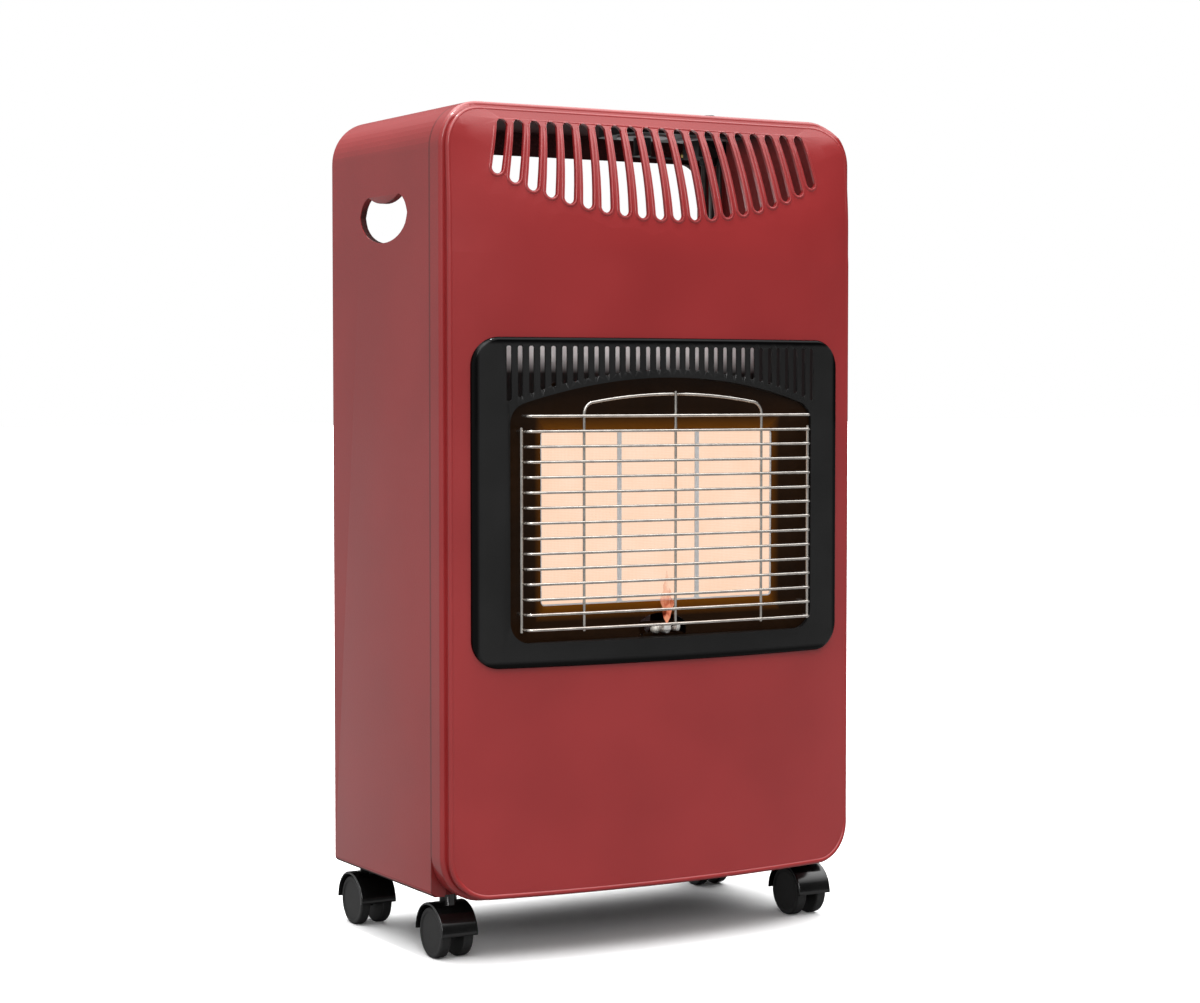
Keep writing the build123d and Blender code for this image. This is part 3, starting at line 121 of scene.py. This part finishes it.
class Finish(NodeTree):
    """A painted, plated, moulded or fired surface, built up from shader nodes."""

    def __init__(self, name, **look):
        self.material = bpy.data.materials.new(name)
        self.material.use_nodes = True
        super().__init__(self.material.node_tree)
        self.shader = self.tree.nodes["Principled BSDF"]
        self.place = self.node("ShaderNodeTexCoord", output="Object")
        self.set(**look)

    def set(self, **look):
        for key, value in look.items():
            self.feed(self.shader.inputs[key.replace("_", " ")], value)

    def noise(self, scale, detail=2.0, stretch=(1, 1, 1)):
        place = self.node("ShaderNodeMapping", {}, {"Vector": self.place, "Scale": stretch})
        return self.node("ShaderNodeTexNoise", {}, {"Vector": place, "Scale": scale, "Detail": detail})

    def mix(self, first, second, share):
        return self.node("ShaderNodeMix", {"data_type": "RGBA"}, {0: share, 6: first, 7: second}, 2)

    def patches(self, first, second, noise, low=0.35, high=0.65):
        """Two colours, 0 to 255, that run into each other in the patches of this noise."""
        return self.mix(rgb(*first), rgb(*second), noise.clipped(low, high))

    def axis(self, name):
        return self.node("ShaderNodeSeparateXYZ", {}, {"Vector": self.place}, name)

    def from_middle(self, name, middle=0.0):
        """How far a point lies from this middle along an axis, either way."""
        return (self.axis(name) - middle).math("ABSOLUTE")

    def relief(self, height, depth):
        """Bumps of this height, in metres, on the surface."""
        self.set(Normal=self.node("ShaderNodeBump", {}, {"Height": height, "Distance": depth}, "Normal"))

    def show_through(self, other, share):
        """Lets another shader take over this share of the surface."""
        own = Value(self, self.shader.outputs[0])
        joined = self.node("ShaderNodeMixShader", {}, {0: share, 1: own, 2: other})
        self.feed(self.tree.nodes["Material Output"].inputs["Surface"], joined)


def shift_points(piece, chosen, move=(0, 0, 0), scale=(1, 1, 1), middle=(0, 0, 0)):
    """Moves or scales the points of a piece that lie where chosen(point) holds."""
    bpy.ops.object.select_all(action="DESELECT")
    piece.select_set(True)
    bpy.context.view_layer.objects.active = piece
    bpy.ops.object.mode_set(mode="EDIT")
    bpy.ops.mesh.select_mode(type="VERT")
    bpy.ops.mesh.select_all(action="DESELECT")
    bpy.ops.object.mode_set(mode="OBJECT")
    for vertex in piece.data.vertices:
        vertex.select = chosen(vertex.co)
    bpy.ops.object.mode_set(mode="EDIT")
    if any(move):
        bpy.ops.transform.translate(value=move)
    else:
        bpy.ops.transform.resize(value=scale, center_override=middle)
    bpy.ops.object.mode_set(mode="OBJECT")


def finished_copy(name, finish, angle=32, reshape=None):
    """A CAD node's sheet joined up and shaded smooth over its pressed curves, standing for that node."""
    node = frame["nodes"][name]
    bpy.ops.object.select_all(action="DESELECT")
    piece = bpy.data.objects.new(name + "_finished", node.data.copy())
    bpy.context.scene.collection.objects.link(piece)
    bpy.context.view_layer.objects.active = piece
    piece.select_set(True)
    bpy.ops.object.mode_set(mode="EDIT")
    bpy.ops.mesh.select_all(action="SELECT")
    bpy.ops.mesh.remove_doubles(threshold=2e-6)
    bpy.ops.object.mode_set(mode="OBJECT")
    if reshape:
        reshape(piece)
    bpy.ops.object.shade_smooth_by_angle(angle=radians(angle))
    evened = piece.modifiers.new("even_shading", "WEIGHTED_NORMAL")
    evened.keep_sharp = True
    bpy.ops.object.modifier_apply(modifier="even_shading")
    piece.data.materials.clear()
    piece.data.materials.append(finish.material)
    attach(piece, node["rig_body"])
    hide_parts(name)
    return piece


def coat(names, finish):
    """Gives CAD nodes that are shown as they are their finish."""
    for name in names:
        materials = frame["nodes"][name].data.materials
        materials.clear()
        materials.append(finish.material)


half_w = 0.21
shell_top = 0.736
shell_r = 0.04
seam_y = -0.0755
back_y = 0.124
shade_darkest_below = 0.56
lit_above = 0.64
painted_light_foot = 0.650
painted_light_full = 0.665

red_paint = Finish("red_paint", IOR=1.5, Coat_Roughness=0.12)
clouds = red_paint.noise(9)
peel = red_paint.noise(620, 1.0)
past_side = (red_paint.from_middle("X") - (half_w - shell_r)).math("MAXIMUM", 0)
past_top = (red_paint.axis("Z") - (shell_top - shell_r)).math("MAXIMUM", 0)
under_skin = (shell_r - (past_side * past_side + past_top * past_top).math("SQRT")).clipped(0.0004, 0.0009)
before_back = 1 - red_paint.axis("Y").clipped(back_y - 0.0004, back_y)
behind_seam = red_paint.axis("Y").clipped(seam_y + 0.0003, seam_y + 0.0009)
inside = under_skin * before_back * behind_seam
side_wall = red_paint.from_middle("X").clipped(half_w - 0.025, half_w - 0.005)
# Painted shade inside the body: dark red, darkest low down and lighter higher up.
painted_deep_shade = red_paint.mix(rgb(24, 5, 5), rgb(62, 16, 15), red_paint.axis("Z").clipped(shade_darkest_below, lit_above))
# Painted light high on the inner side walls, where light falls in through the slots.
painted_light_near_top = side_wall * red_paint.axis("Z").clipped(painted_light_foot, painted_light_full)
# The inner faces take this painted shade and painted light in place of the sprayed red.
painted_inner_shade_and_light = red_paint.mix(painted_deep_shade, rgb(170, 58, 58), painted_light_near_top)
# Painted shadow: a dark red line along the seam between the body and the front panel.
painted_seam_shadow = 1 - red_paint.from_middle("Y", seam_y).clipped(0.0010, 0.0019)
sprayed = red_paint.patches((142, 34, 35), (150, 38, 39), clouds)
red_paint.set(
    Base_Color=red_paint.mix(red_paint.mix(sprayed, painted_inner_shade_and_light, inside), rgb(104, 10, 10), painted_seam_shadow * 0.9),
    Roughness=clouds * 0.08 + peel * 0.05 + 0.3 + inside * 0.5,
    Coat_Weight=(clouds * 0.1 + 0.3) * (1 - inside),
)
red_paint.relief(peel, 0.00005)

grip_level = 0.6443
grip_middle = 0.015975
grip_half = 0.0478
grip_drop = 0.0244
grip_r = (grip_half**2 + grip_drop**2) / 2 / grip_drop
grip_bands = 20
grip_from_x = 0.195
grip_reach = 0.06


def by_grip(at):
    """Whether a point of the shell is on a side, near its hand grip."""
    return abs(at.x) > grip_from_x and abs(at.y - grip_middle) < grip_reach


def fill_out_grips(shell):
    """Rounds the lower half of each hand grip from a shallow arc into a full bowl."""
    for band in range(grip_bands):
        high = grip_level - grip_drop * band / grip_bands
        low = high - grip_drop / grip_bands
        depth = (grip_level - (high + low) / 2) / grip_drop
        arc = sqrt(grip_r**2 - (grip_r - grip_drop * (1 - depth)) ** 2)
        bowl = grip_half * sqrt(1 - depth**2)
        shift_points(
            shell,
            lambda at: by_grip(at) and low < at.z <= high,
            scale=(1, bowl / arc, 1),
            middle=(0, grip_middle, 0),
        )


finished_copy("body_shell", red_paint, reshape=fill_out_grips)

# ---- Floor of the bottle compartment and its castor sockets ----
# A shallow tray in the cabinet's red coat, which inside the body is painted dark as shade, standing on
# the body's turned foot, with two pressed beads that stiffen it. A turned steel socket is pressed in at
# each corner.
# Inside the body the tray takes the red finish's painted shade, so it shows near black.
coat(["base_tray"], red_paint)

zinc = Finish("zinc_plated_steel", Metallic=0.75)
spangle_at = zinc.noise(26, 3.0)
brushing = zinc.noise(40, 3.0, (1, 1, 22))
zinc.set(
    Base_Color=zinc.patches((150, 150, 148), (186, 186, 184), spangle_at),
    Roughness=brushing * 0.16 + spangle_at * 0.1 + 0.28,
)
zinc.relief(brushing, 0.00003)
coat(["castor_sockets"], zinc)

# ---- Front panel ----
# A deep-drawn steel pressing with a crowned face that rolls back at the top, and a fan of twenty
# slots whose edges are rolled inwards. It is powder coated with the body and screwed on from behind.
brow_foot = 0.722
brow_bands = 9
brow_band_h = 0.00115
brow_lean = 0.00055
brow_face_y = -0.0765
crown_drop = 0.0149
corner_x = 0.17
low_corner_z = 0.1072
field_r = 0.0348
rim_skin = -0.0935


def lean_brow(panel):
    """Leans the strip above the slots back, so that the crown runs on up to the top edge."""
    for band in range(brow_bands):
        foot = brow_foot + band * brow_band_h
        shift_points(panel, lambda at: at.z > foot and at.y < brow_face_y, move=(0, brow_lean, 0))


def in_low_crown(at):
    """Whether a point is on the crown's lower edge or its two lower corners."""
    if at.y > rim_skin or at.z > low_corner_z + 0.0003:
        return False
    past = max(0.0, abs(at.x) - corner_x)
    return sqrt(past**2 + (at.z - low_corner_z) ** 2) < field_r + 0.0004


def shape_front(panel):
    """Leans the brow back, and draws the crown's lower edge down close to the panel's foot."""
    lean_brow(panel)
    shift_points(panel, in_low_crown, move=(0, 0, -crown_drop))


front_panel = finished_copy("front_panel", red_paint, 25, shape_front)

# ---- Rolled edge of the crown ----
# The press leaves a fine raised bead all round the crown, just inside the rim, that catches the light
# along the foot and at the corners.
roll_r = 0.0026
roll_sunk = 0.0019
sunk_change = 0.0005
roll_turn = 0.033
high_corner_z = 0.696
bend_steps = 14
side_steps = 60
foot_fade_z = 0.11
foot_fade = 0.04
brow_fade_z = 0.70
brow_fade = 0.025
ray_from_y = -0.3


def points_between(first, last, steps):
    """Even points along a straight stretch, without its two ends."""
    return [first.lerp(last, step / steps) for step in range(1, steps)]


def rolled_bead(name, outline, radius, sinks):
    """A closed round bead lying on the front panel along these points, sunk this far into it."""
    bpy.ops.curve.primitive_bezier_circle_add(radius=0.01, enter_editmode=False)
    bead = bpy.context.object
    bead.name = name
    path = bead.data
    path.splines.clear()
    line = path.splines.new("POLY")
    line.points.add(len(outline) - 1)
    for point, spot, sink in zip(line.points, outline, sinks):
        on_skin = front_panel.ray_cast(Vector((spot.x, ray_from_y, spot.z)), Vector((0, 1, 0)))[1]
        point.co = (spot.x, on_skin.y + sink, spot.z, 1)
    line.use_cyclic_u = True
    path.dimensions = "3D"
    path.bevel_depth = radius
    path.bevel_resolution = 2
    bpy.ops.object.select_all(action="DESELECT")
    bead.select_set(True)
    bpy.ops.object.convert(target="MESH")
    bpy.ops.object.shade_smooth()
    bead.data.materials.append(red_paint.material)
    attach(bead, "cabinet")


drawn_foot_z = low_corner_z - crown_drop
bends = ((1, high_corner_z), (-1, high_corner_z), (-1, drawn_foot_z), (1, drawn_foot_z))
crown_line = []
for quarter, (side, level) in enumerate(bends):
    turns = [pi / 2 * (quarter + step / bend_steps) for step in range(bend_steps + 1)]
    bend = [Vector((side * corner_x + roll_turn * cos(t), 0, level + roll_turn * sin(t))) for t in turns]
    if crown_line:
        crown_line += points_between(crown_line[-1], bend[0], side_steps)
    crown_line += bend
crown_line += points_between(crown_line[-1], crown_line[0], side_steps)
crown_sinks = []
for spot in crown_line:
    foot_share = max(0.0, min(1.0, (foot_fade_z - spot.z) / foot_fade))
    brow_share = max(0.0, min(1.0, (spot.z - brow_fade_z) / brow_fade))
    crown_sinks.append(roll_sunk + (brow_share - foot_share) * sunk_change)
rolled_bead("crown_edge_bead", crown_line, roll_r, crown_sinks)

# ---- Rolled slot edges ----
# The press rolls each slot's edge over into a smooth round bead, which catches the light all round
# the slot. One closed bead a slot, lying on the lip and sinking in at the slot's top.
slot_count = 20
slot_pitch = 0.01588
slot_tip = 0.7213
slot_length = 0.0823
slot_fan = 0.670
slot_arc = 0.342
round_end = 0.005
bead_from_middle = 0.0066
bead_r = 0.0018
bead_sunk = 0.0010
end_sunk = 0.0014
end_fade = 0.014
end_steps = 12
run_steps = 10
for number in range(slot_count):
    top_x = (number - (slot_count - 1) / 2) * slot_pitch
    low = slot_tip - slot_length + slot_arc - sqrt(slot_arc**2 - top_x**2)
    low_x = top_x * (slot_fan + slot_tip - low) / slot_fan
    top = Vector((top_x, 0, slot_tip))
    bottom = Vector((low_x, 0, low))
    along = (top - bottom).normalized()
    across = Vector((along.z, 0, -along.x))
    high_end = top - along * round_end
    low_end = bottom + along * round_end
    aside = across * bead_from_middle
    slot_line = []
    for end, start, run_to in ((high_end, 0, low_end - aside), (low_end, pi, high_end + aside)):
        for step in range(end_steps + 1):
            turn = start + pi * step / end_steps
            slot_line.append(end + (across * cos(turn) + along * sin(turn)) * bead_from_middle)
        slot_line += points_between(slot_line[-1], run_to, run_steps)
    slot_sinks = [bead_sunk + end_sunk * max(0.0, 1 - (slot_tip - spot.z) / end_fade) for spot in slot_line]
    rolled_bead(f"slot_bead_{number + 1:02d}", slot_line, bead_r, slot_sinks)

# ---- Screws of the front panel ----
# Zinc-plated pan-head screws, driven from inside the cabinet through the front flange.
finished_copy("panel_screws", zinc)

# ---- Window bezel ----
# A black enamelled steel pressing laid on the crown, with thirty-two louvres above the arched
# window, a turned lip round the opening, and hooks behind that hold it to the panel.
bezel_half_w = 0.187
bezel_half_h = 0.141
bezel_mid_z = 0.3953
rim_w = 0.0035
rim_fade = 0.003
black_enamel = Finish("black_enamel", IOR=1.5, Specular_IOR_Level=0.3)
enamel_cloud = black_enamel.noise(14)
enamel_peel = black_enamel.noise(800, 1.0)
from_side = bezel_half_w - black_enamel.from_middle("X")
from_end = bezel_half_h - black_enamel.from_middle("Z", bezel_mid_z)
# Painted dark reflection: the rounded outer rim is painted near black.
rim = 1 - from_side.math("MINIMUM", from_end).clipped(rim_w, rim_w + rim_fade)
flat_face = black_enamel.patches((17, 17, 17), (23, 23, 23), enamel_cloud)
black_enamel.set(
    Base_Color=black_enamel.mix(flat_face, rgb(3, 3, 3), rim),
    Roughness=enamel_cloud * 0.1 + enamel_peel * 0.05 + 0.36 - rim * 0.28,
    Coat_Weight=rim * 0.3 + enamel_cloud * 0.05,
)
# Over most of the rim a near-black matte shader shows through, as painted dark reflection, leaving a little
# gloss.
painted_dark_reflection = black_enamel.node("ShaderNodeBsdfDiffuse", {}, {"Color": rgb(4, 4, 4)})
black_enamel.show_through(painted_dark_reflection, rim * 0.75)
black_enamel.relief(enamel_peel, 0.00004)
finished_copy("window_bezel", black_enamel)

# ---- Reflector pan ----
# Thin aluminised sheet drawn into a shallow funnel between the window and the plaques. Heat has
# tinted it dark brown, and next to the burner a bright amber is painted on as the glow of the plaques.
mouth_half_w = 0.111
mouth_half_h = 0.074
mouth_mid_z = 0.381
tinted = Finish("heat_tinted_sheet", Metallic=0.3, Specular_IOR_Level=0.15)
tint_cloud = tinted.noise(18, 3.0)
past_mouth_side = tinted.from_middle("X") - mouth_half_w
past_mouth_end = tinted.from_middle("Z", mouth_mid_z) - mouth_half_h
# Painted light: the amber glow of the lit plaques, strongest at the burner's mouth.
painted_glow_near_burner = 1 - past_mouth_side.math("MAXIMUM", past_mouth_end).clipped(0.001, 0.015)
tinted.set(
    Base_Color=tinted.mix(rgb(16, 7, 2), rgb(128, 74, 2), painted_glow_near_burner * 0.85 + tint_cloud * 0.1),
    Roughness=tint_cloud * 0.15 + 0.3,
)
tinted.relief(tint_cloud, 0.00008)
finished_copy("reflector_pan", tinted)

# ---- Radiant burner ----
# Three fired ceramic plaques, each drilled with hundreds of fine holes, clamped over pressed steel
# mixing boxes by one bright frame. Lit, they glow evenly in a pale orange white.
hole_pitch = 0.0028
plaque = Finish("fired_ceramic", Roughness=0.85)
holes_across = (plaque.axis("X") * (2 * pi / hole_pitch)).math("SINE")
holes_up = (plaque.axis("Z") * (2 * pi / hole_pitch)).math("SINE")
hole = (holes_across * holes_up).math("ABSOLUTE").clipped(0.35, 0.7)
firing = plaque.noise(30, 3.0)
glow = plaque.patches((255, 224, 200), (253, 217, 190), firing)
plaque.set(
    Base_Color=plaque.mix(rgb(112, 98, 88), rgb(120, 90, 70), hole * 0.7),
    Emission_Color=plaque.mix(glow, rgb(255, 196, 150), hole * 0.35),
    Emission_Strength=0.9,
)
plaque.relief(1 - hole, 0.0004)
coat(["plaque_left", "plaque_centre", "plaque_right"], plaque)

burner_steel = Finish("burner_steel", Metallic=0.2)
scorch = burner_steel.noise(22, 4.0)
burner_steel.set(
    Base_Color=burner_steel.patches((206, 207, 208), (222, 223, 224), scorch, 0.3),
    Roughness=scorch * 0.2 + 0.26,
)
burner_steel.relief(scorch, 0.00006)
finished_copy("burner_frame", burner_steel)
for side in ("left", "centre", "right"):
    finished_copy("plenum_" + side, burner_steel)
coat(["side_bracket_left", "side_bracket_right", "injector_bar"], zinc)
finished_copy("burner_screws", zinc)

brass = Finish("turned_brass", Metallic=1.0)
turning = brass.noise(60, 2.0, (1, 1, 12))
brass.set(
    Base_Color=brass.patches((178, 142, 74), (206, 172, 100), turning, 0.3, 0.7),
    Roughness=turning * 0.18 + 0.2,
)
brass.relief(turning, 0.00003)
finished_copy("injectors", brass)

# ---- Heat shield ----
# A galvanised sheet with two long stiffening beads, hung behind the burner to keep the bottle cool.
# Low down, its front face is painted near black as shade, fading out upwards.
painted_shade_to = 0.506
painted_shade_fade = 0.016
shield_front_y = -0.0444
pale_zinc = Finish("pale_galvanised_sheet", Metallic=0.15)
flower = pale_zinc.noise(60, 3.0)
# Painted shade: the front face goes near black below this level.
painted_shade_low = 1 - pale_zinc.axis("Z").clipped(painted_shade_to, painted_shade_to + painted_shade_fade)
front_face = 1 - pale_zinc.axis("Y").clipped(shield_front_y, shield_front_y + 0.0002)
galvanised = pale_zinc.patches((226, 226, 226), (244, 244, 243), flower)
pale_zinc.set(
    Base_Color=pale_zinc.mix(galvanised, rgb(26, 20, 18), painted_shade_low * front_face),
    Roughness=flower * 0.2 + 0.4,
)
coat(["heat_shield"], pale_zinc)

# ---- Wire guard ----
# Fifteen bowed rows of bright nickel-plated wire, spot welded over four uprights, with pins that
# spring into the pan.
bright_wire = Finish("bright_wire", Metallic=0.95)
plating = bright_wire.noise(90, 2.0)
bright_wire.set(
    Base_Color=bright_wire.patches((184, 178, 172), (206, 201, 194), plating),
    Roughness=plating * 0.12 + 0.18,
)
bright_wire.relief(plating, 0.00004)
finished_copy("guard_grille", bright_wire)

# ---- Pilot ----
# A small burner with a thermocouple and a spark electrode on one bracket, standing through the
# notch of the pan in front of the middle plaque.
coat(["pilot_bracket"], tinted)
tip_share = 0.4
electrode_front = -0.1176
burner_front = -0.1203
thermocouple_front = -0.1185


def short_tip(front):
    """Draws a pilot part in behind its front end, which is all that shows past its bracket."""
    return lambda piece: shift_points(piece, lambda at: True, scale=(1, tip_share, 1), middle=(0, front, 0))


glaze = Finish("white_glaze", IOR=1.5)
crackle = glaze.noise(120, 3.0)
glaze.set(
    Base_Color=glaze.patches((226, 222, 212), (240, 238, 230), crackle),
    Roughness=crackle * 0.1 + 0.16,
)
finished_copy("spark_electrode", glaze, reshape=short_tip(electrode_front))
# Painted light: the pilot burner and thermocouple are painted near white, so they read bright beside the
# lit plaques.
painted_bright_pilot_steel = Finish("pilot_steel_painted_bright", Metallic=0.3)
pilot_mottle = painted_bright_pilot_steel.noise(220, 3.0)
painted_bright_pilot_steel.set(
    Base_Color=painted_bright_pilot_steel.patches((226, 223, 218), (250, 248, 244), pilot_mottle),
    Roughness=pilot_mottle * 0.2 + 0.35,
)
finished_copy("pilot_burner", painted_bright_pilot_steel, reshape=short_tip(burner_front))
finished_copy("thermocouple", painted_bright_pilot_steel, reshape=short_tip(thermocouple_front))

# ---- Pilot flame ----
# A thin tongue of flame off the pilot burner, licking up the foot of the middle plaque. It is narrow
# where it leaves the burner, sways as it rises, and thins out at the tip.
flame_foot = 0.2865
flame_top = 0.333
flame_y = -0.118
flame_half_w = 0.0100
flame_half_d = 0.0045
flame_half = (flame_top - flame_foot) / 2
flame_fire = Finish("pilot_flame", Roughness=0.9, Specular_IOR_Level=0.0)
flicker = flame_fire.noise(190, 2.0, (1, 1, 0.45))
rising = flame_fire.axis("Z").clipped(0.296, 0.318)
flame_fire.set(
    Base_Color=flame_fire.patches((120, 50, 34), (150, 84, 60), flicker),
    Emission_Color=flame_fire.patches((214, 84, 52), (246, 168, 132), flicker, 0.4, 0.62),
    Emission_Strength=0.7,
    Alpha=(flicker.clipped(0.42, 0.56) * 0.7 + 0.1) * (1 - rising * 0.65),
)
bpy.ops.mesh.primitive_uv_sphere_add(segments=20, ring_count=14, radius=1, location=(0, flame_y, 0))
flame = bpy.context.object
flame.name = "pilot_flame"
bpy.ops.transform.resize(value=(flame_half_w, flame_half_d, flame_half))
bpy.ops.transform.translate(value=(0, 0, flame_foot + flame_half))
bpy.ops.object.transform_apply(location=True, rotation=False, scale=True)
for narrow in (0.1, 0.22, 0.36):
    level = flame_foot + flame_half * narrow * 2
    shift_points(flame, lambda at: at.z < level, scale=(0.72, 0.85, 1), middle=(0, flame_y, 0))
for step, sway in enumerate((0.0012, -0.0022, 0.0018, -0.0012, 0.0012)):
    level = flame_foot + flame_half * (0.5 + 0.28 * step)
    shift_points(flame, lambda at: at.z > level, scale=(0.72, 0.8, 1), middle=(0, flame_y, 0))
    shift_points(flame, lambda at: at.z > level, move=(sway, 0.0004, 0))
bpy.ops.object.shade_smooth()
flame.data.materials.append(flame_fire.material)
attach(flame, "cabinet")

# ---- Control insert on the top ----
# A black moulded insert sunk in the cabinet's top, held by two grey backing discs, with the gas knob
# and the igniter button side by side.
well_angle = 12
black_plastic = Finish("black_moulding", IOR=1.46)
grain = black_plastic.noise(900, 2.0)
flow = black_plastic.noise(20)
black_plastic.set(
    Base_Color=black_plastic.patches((26, 26, 27), (34, 34, 35), flow),
    Roughness=grain * 0.15 + flow * 0.08 + 0.36,
)
black_plastic.relief(grain, 0.00006)
grey_plastic = Finish("grey_moulding", IOR=1.46)
grey_grain = grey_plastic.noise(700, 2.0)
grey_plastic.set(
    Base_Color=grey_plastic.patches((146, 146, 148), (160, 160, 162), grey_grain),
    Roughness=grey_grain * 0.15 + 0.42,
)
grey_plastic.relief(grey_grain, 0.00005)
finished_copy("control_panel", black_plastic, well_angle)
coat(["backing_discs"], grey_plastic)
finished_copy("control_knob", black_plastic)
red_button = Finish("red_moulding", IOR=1.46)
button_flow = red_button.noise(45)
red_button.set(
    Base_Color=red_button.patches((168, 22, 22), (182, 30, 28), button_flow),
    Roughness=button_flow * 0.1 + 0.22,
)
finished_copy("igniter_button", red_button)
coat(["igniter_body"], black_plastic)

# ---- Gas valve ----
# A die-cast valve under the insert, painted near black as the shade it sits in, with a turned brass
# spindle, plunger and ribbed hose tail at the back.
casting = Finish("black_casting_and_valve_shade", Metallic=0.4)
sand = casting.noise(300, 3.0)
# The castor stems are truly black. On the valve this near black is painted shade.
casting.set(
    Base_Color=casting.patches((18, 18, 18), (30, 30, 29), sand),
    Roughness=sand * 0.2 + 0.5,
)
casting.relief(sand, 0.0001)
finished_copy("valve_body", casting)
for name in ("valve_plunger", "valve_spindle", "gas_inlet"):
    finished_copy(name, brass)

# ---- Pipes and leads ----
# Bent aluminium tubes, painted dark grey as the shade they lie in, from the valve to each injector and
# the pilot, and sleeved leads to the thermocouple and the spark electrode.
tube_metal = Finish("aluminium_painted_shade", Metallic=0.7)
drawing = tube_metal.noise(70, 2.0)
# Painted shade: the tubes are coloured dark grey.
tube_metal.set(
    Base_Color=tube_metal.patches((62, 60, 58), (84, 82, 80), drawing),
    Roughness=drawing * 0.15 + 0.3,
)
for name in ("burner_tube_left", "burner_tube_centre", "burner_tube_right", "pilot_tube"):
    finished_copy(name, tube_metal)
sleeve = Finish("lead_sleeving", Specular_IOR_Level=0.3)
braid = sleeve.noise(500, 2.0)
sleeve.set(
    Base_Color=sleeve.patches((46, 46, 48), (64, 64, 66), braid),
    Roughness=braid * 0.15 + 0.55,
)
for name in ("thermocouple_lead", "ignition_lead"):
    finished_copy(name, sleeve)

# ---- Castors ----
# Twin-wheel castors: a glossy black hood over two dark grey nylon wheels on one steel axle, and a
# blackened steel stem that snaps into its socket.
hood_gloss = Finish("gloss_black_moulding", IOR=1.5, Coat_Roughness=0.05)
hood_flow = hood_gloss.noise(60)
hood_gloss.set(
    Base_Color=hood_gloss.patches((9, 9, 9), (14, 14, 14), hood_flow),
    Roughness=hood_flow * 0.1 + 0.14,
    Coat_Weight=hood_flow * 0.2 + 0.3,
)
nylon = Finish("grey_nylon", IOR=1.45)
nylon_grain = nylon.noise(600, 2.0)
nylon.set(
    Base_Color=nylon.patches((34, 34, 34), (42, 42, 42), nylon_grain),
    Roughness=nylon_grain * 0.15 + 0.45,
)
nylon.relief(nylon_grain, 0.00005)
for row in ("front", "rear"):
    for hand in ("left", "right"):
        castor = f"castor_{row}_{hand}_"
        finished_copy(castor + "hood", hood_gloss)
        for spot in ("outer", "inner"):
            finished_copy(f"{castor}wheel_{spot}", nylon)
        finished_copy(castor + "stem", casting)
        finished_copy(castor + "axle", zinc)

# ---- Studio ----
# A white floor that runs on into a white surround, in a soft light tent that is paler on the left and
# has a bright panel overhead. Three far lamps light the outside, and two small ones the inside.
floor_paint = Finish("studio_floor", Roughness=0.9, Specular_IOR_Level=0.0)
floor_paint.set(Base_Color=(1, 1, 1, 1))
dim_floor = floor_paint.node("ShaderNodeBsdfDiffuse", {}, {"Color": rgb(120, 120, 120)})
floor_in_view = floor_paint.node("ShaderNodeLightPath", {}, {}, "Is Camera Ray")
floor_paint.show_through(dim_floor, 1 - floor_in_view)
bpy.ops.mesh.primitive_plane_add(size=60)
floor = bpy.context.object
floor.name = "studio_floor"
floor.data.materials.append(floor_paint.material)

world = bpy.data.worlds.new("light_tent")
bpy.context.scene.world = world
world.use_nodes = True
tent = NodeTree(world.node_tree)
facing = tent.node("ShaderNodeTexCoord", output="Generated")
sideways = tent.node("ShaderNodeSeparateXYZ", {}, {"Vector": facing}, "X")
upwards = tent.node("ShaderNodeSeparateXYZ", {}, {"Vector": facing}, "Z")
walls = sideways.clipped(-0.9, 0.3, 0.62, 0.08)
overhead = upwards.clipped(0.45, 0.8, 0.0, 3.4)
to_right = sideways.clipped(-0.7, 0.1, 0.25, 1.0)
tent_in_view = tent.node("ShaderNodeLightPath", {}, {}, "Is Camera Ray")
brightness = tent.node("ShaderNodeMix", {}, {0: tent_in_view, 2: walls + overhead * to_right, 3: 1.0})
background = world.node_tree.nodes["Background"]
tent.feed(background.inputs["Strength"], brightness)
tent.feed(background.inputs["Color"], (1, 1, 1, 1))

for name, turn, strength, spread in (
    ("key", (38, 0, -34), 0.5, 25),
    ("low", (66, 0, -20), 0.7, 20),
    ("above", (3, 0, -60), 1.8, 5),
):
    lamp = bpy.data.lights.new(name, "SUN")
    lamp.energy = strength
    lamp.angle = radians(spread)
    light = bpy.data.objects.new(name, lamp)
    light.rotation_euler = [radians(angle) for angle in turn]
    bpy.context.scene.collection.objects.link(light)

strip = bpy.data.lights.new("louvre_strip", "AREA")
strip.shape = "RECTANGLE"
strip.size = 0.28
strip.size_y = 0.02
strip.energy = 0.09
bulb = bpy.data.lights.new("inside_bulb", "POINT")
bulb.energy = 0.08
bulb.shadow_soft_size = 0.03
for lamp, spot, tilt in (
    (strip, (0, -0.085, 0.585), 45),
    (bulb, (0.05, -0.03, 0.65), 0),
):
    light = bpy.data.objects.new(lamp.name, lamp)
    light.location = spot
    light.rotation_euler = (radians(tilt), 0, 0)
    light.visible_camera = False
    bpy.context.scene.collection.objects.link(light)

lens = bpy.data.cameras.new("camera")
lens.lens = 76.36
lens.sensor_width = 36
camera = bpy.data.objects.new("camera", lens)
camera.location = (-1.1663, -2.0183, 0.4919)
camera.rotation_euler = (radians(87.475), 0, radians(-30.03))
bpy.context.scene.collection.objects.link(camera)
bpy.context.scene.camera = camera
bpy.context.scene.view_settings.view_transform = "Standard"
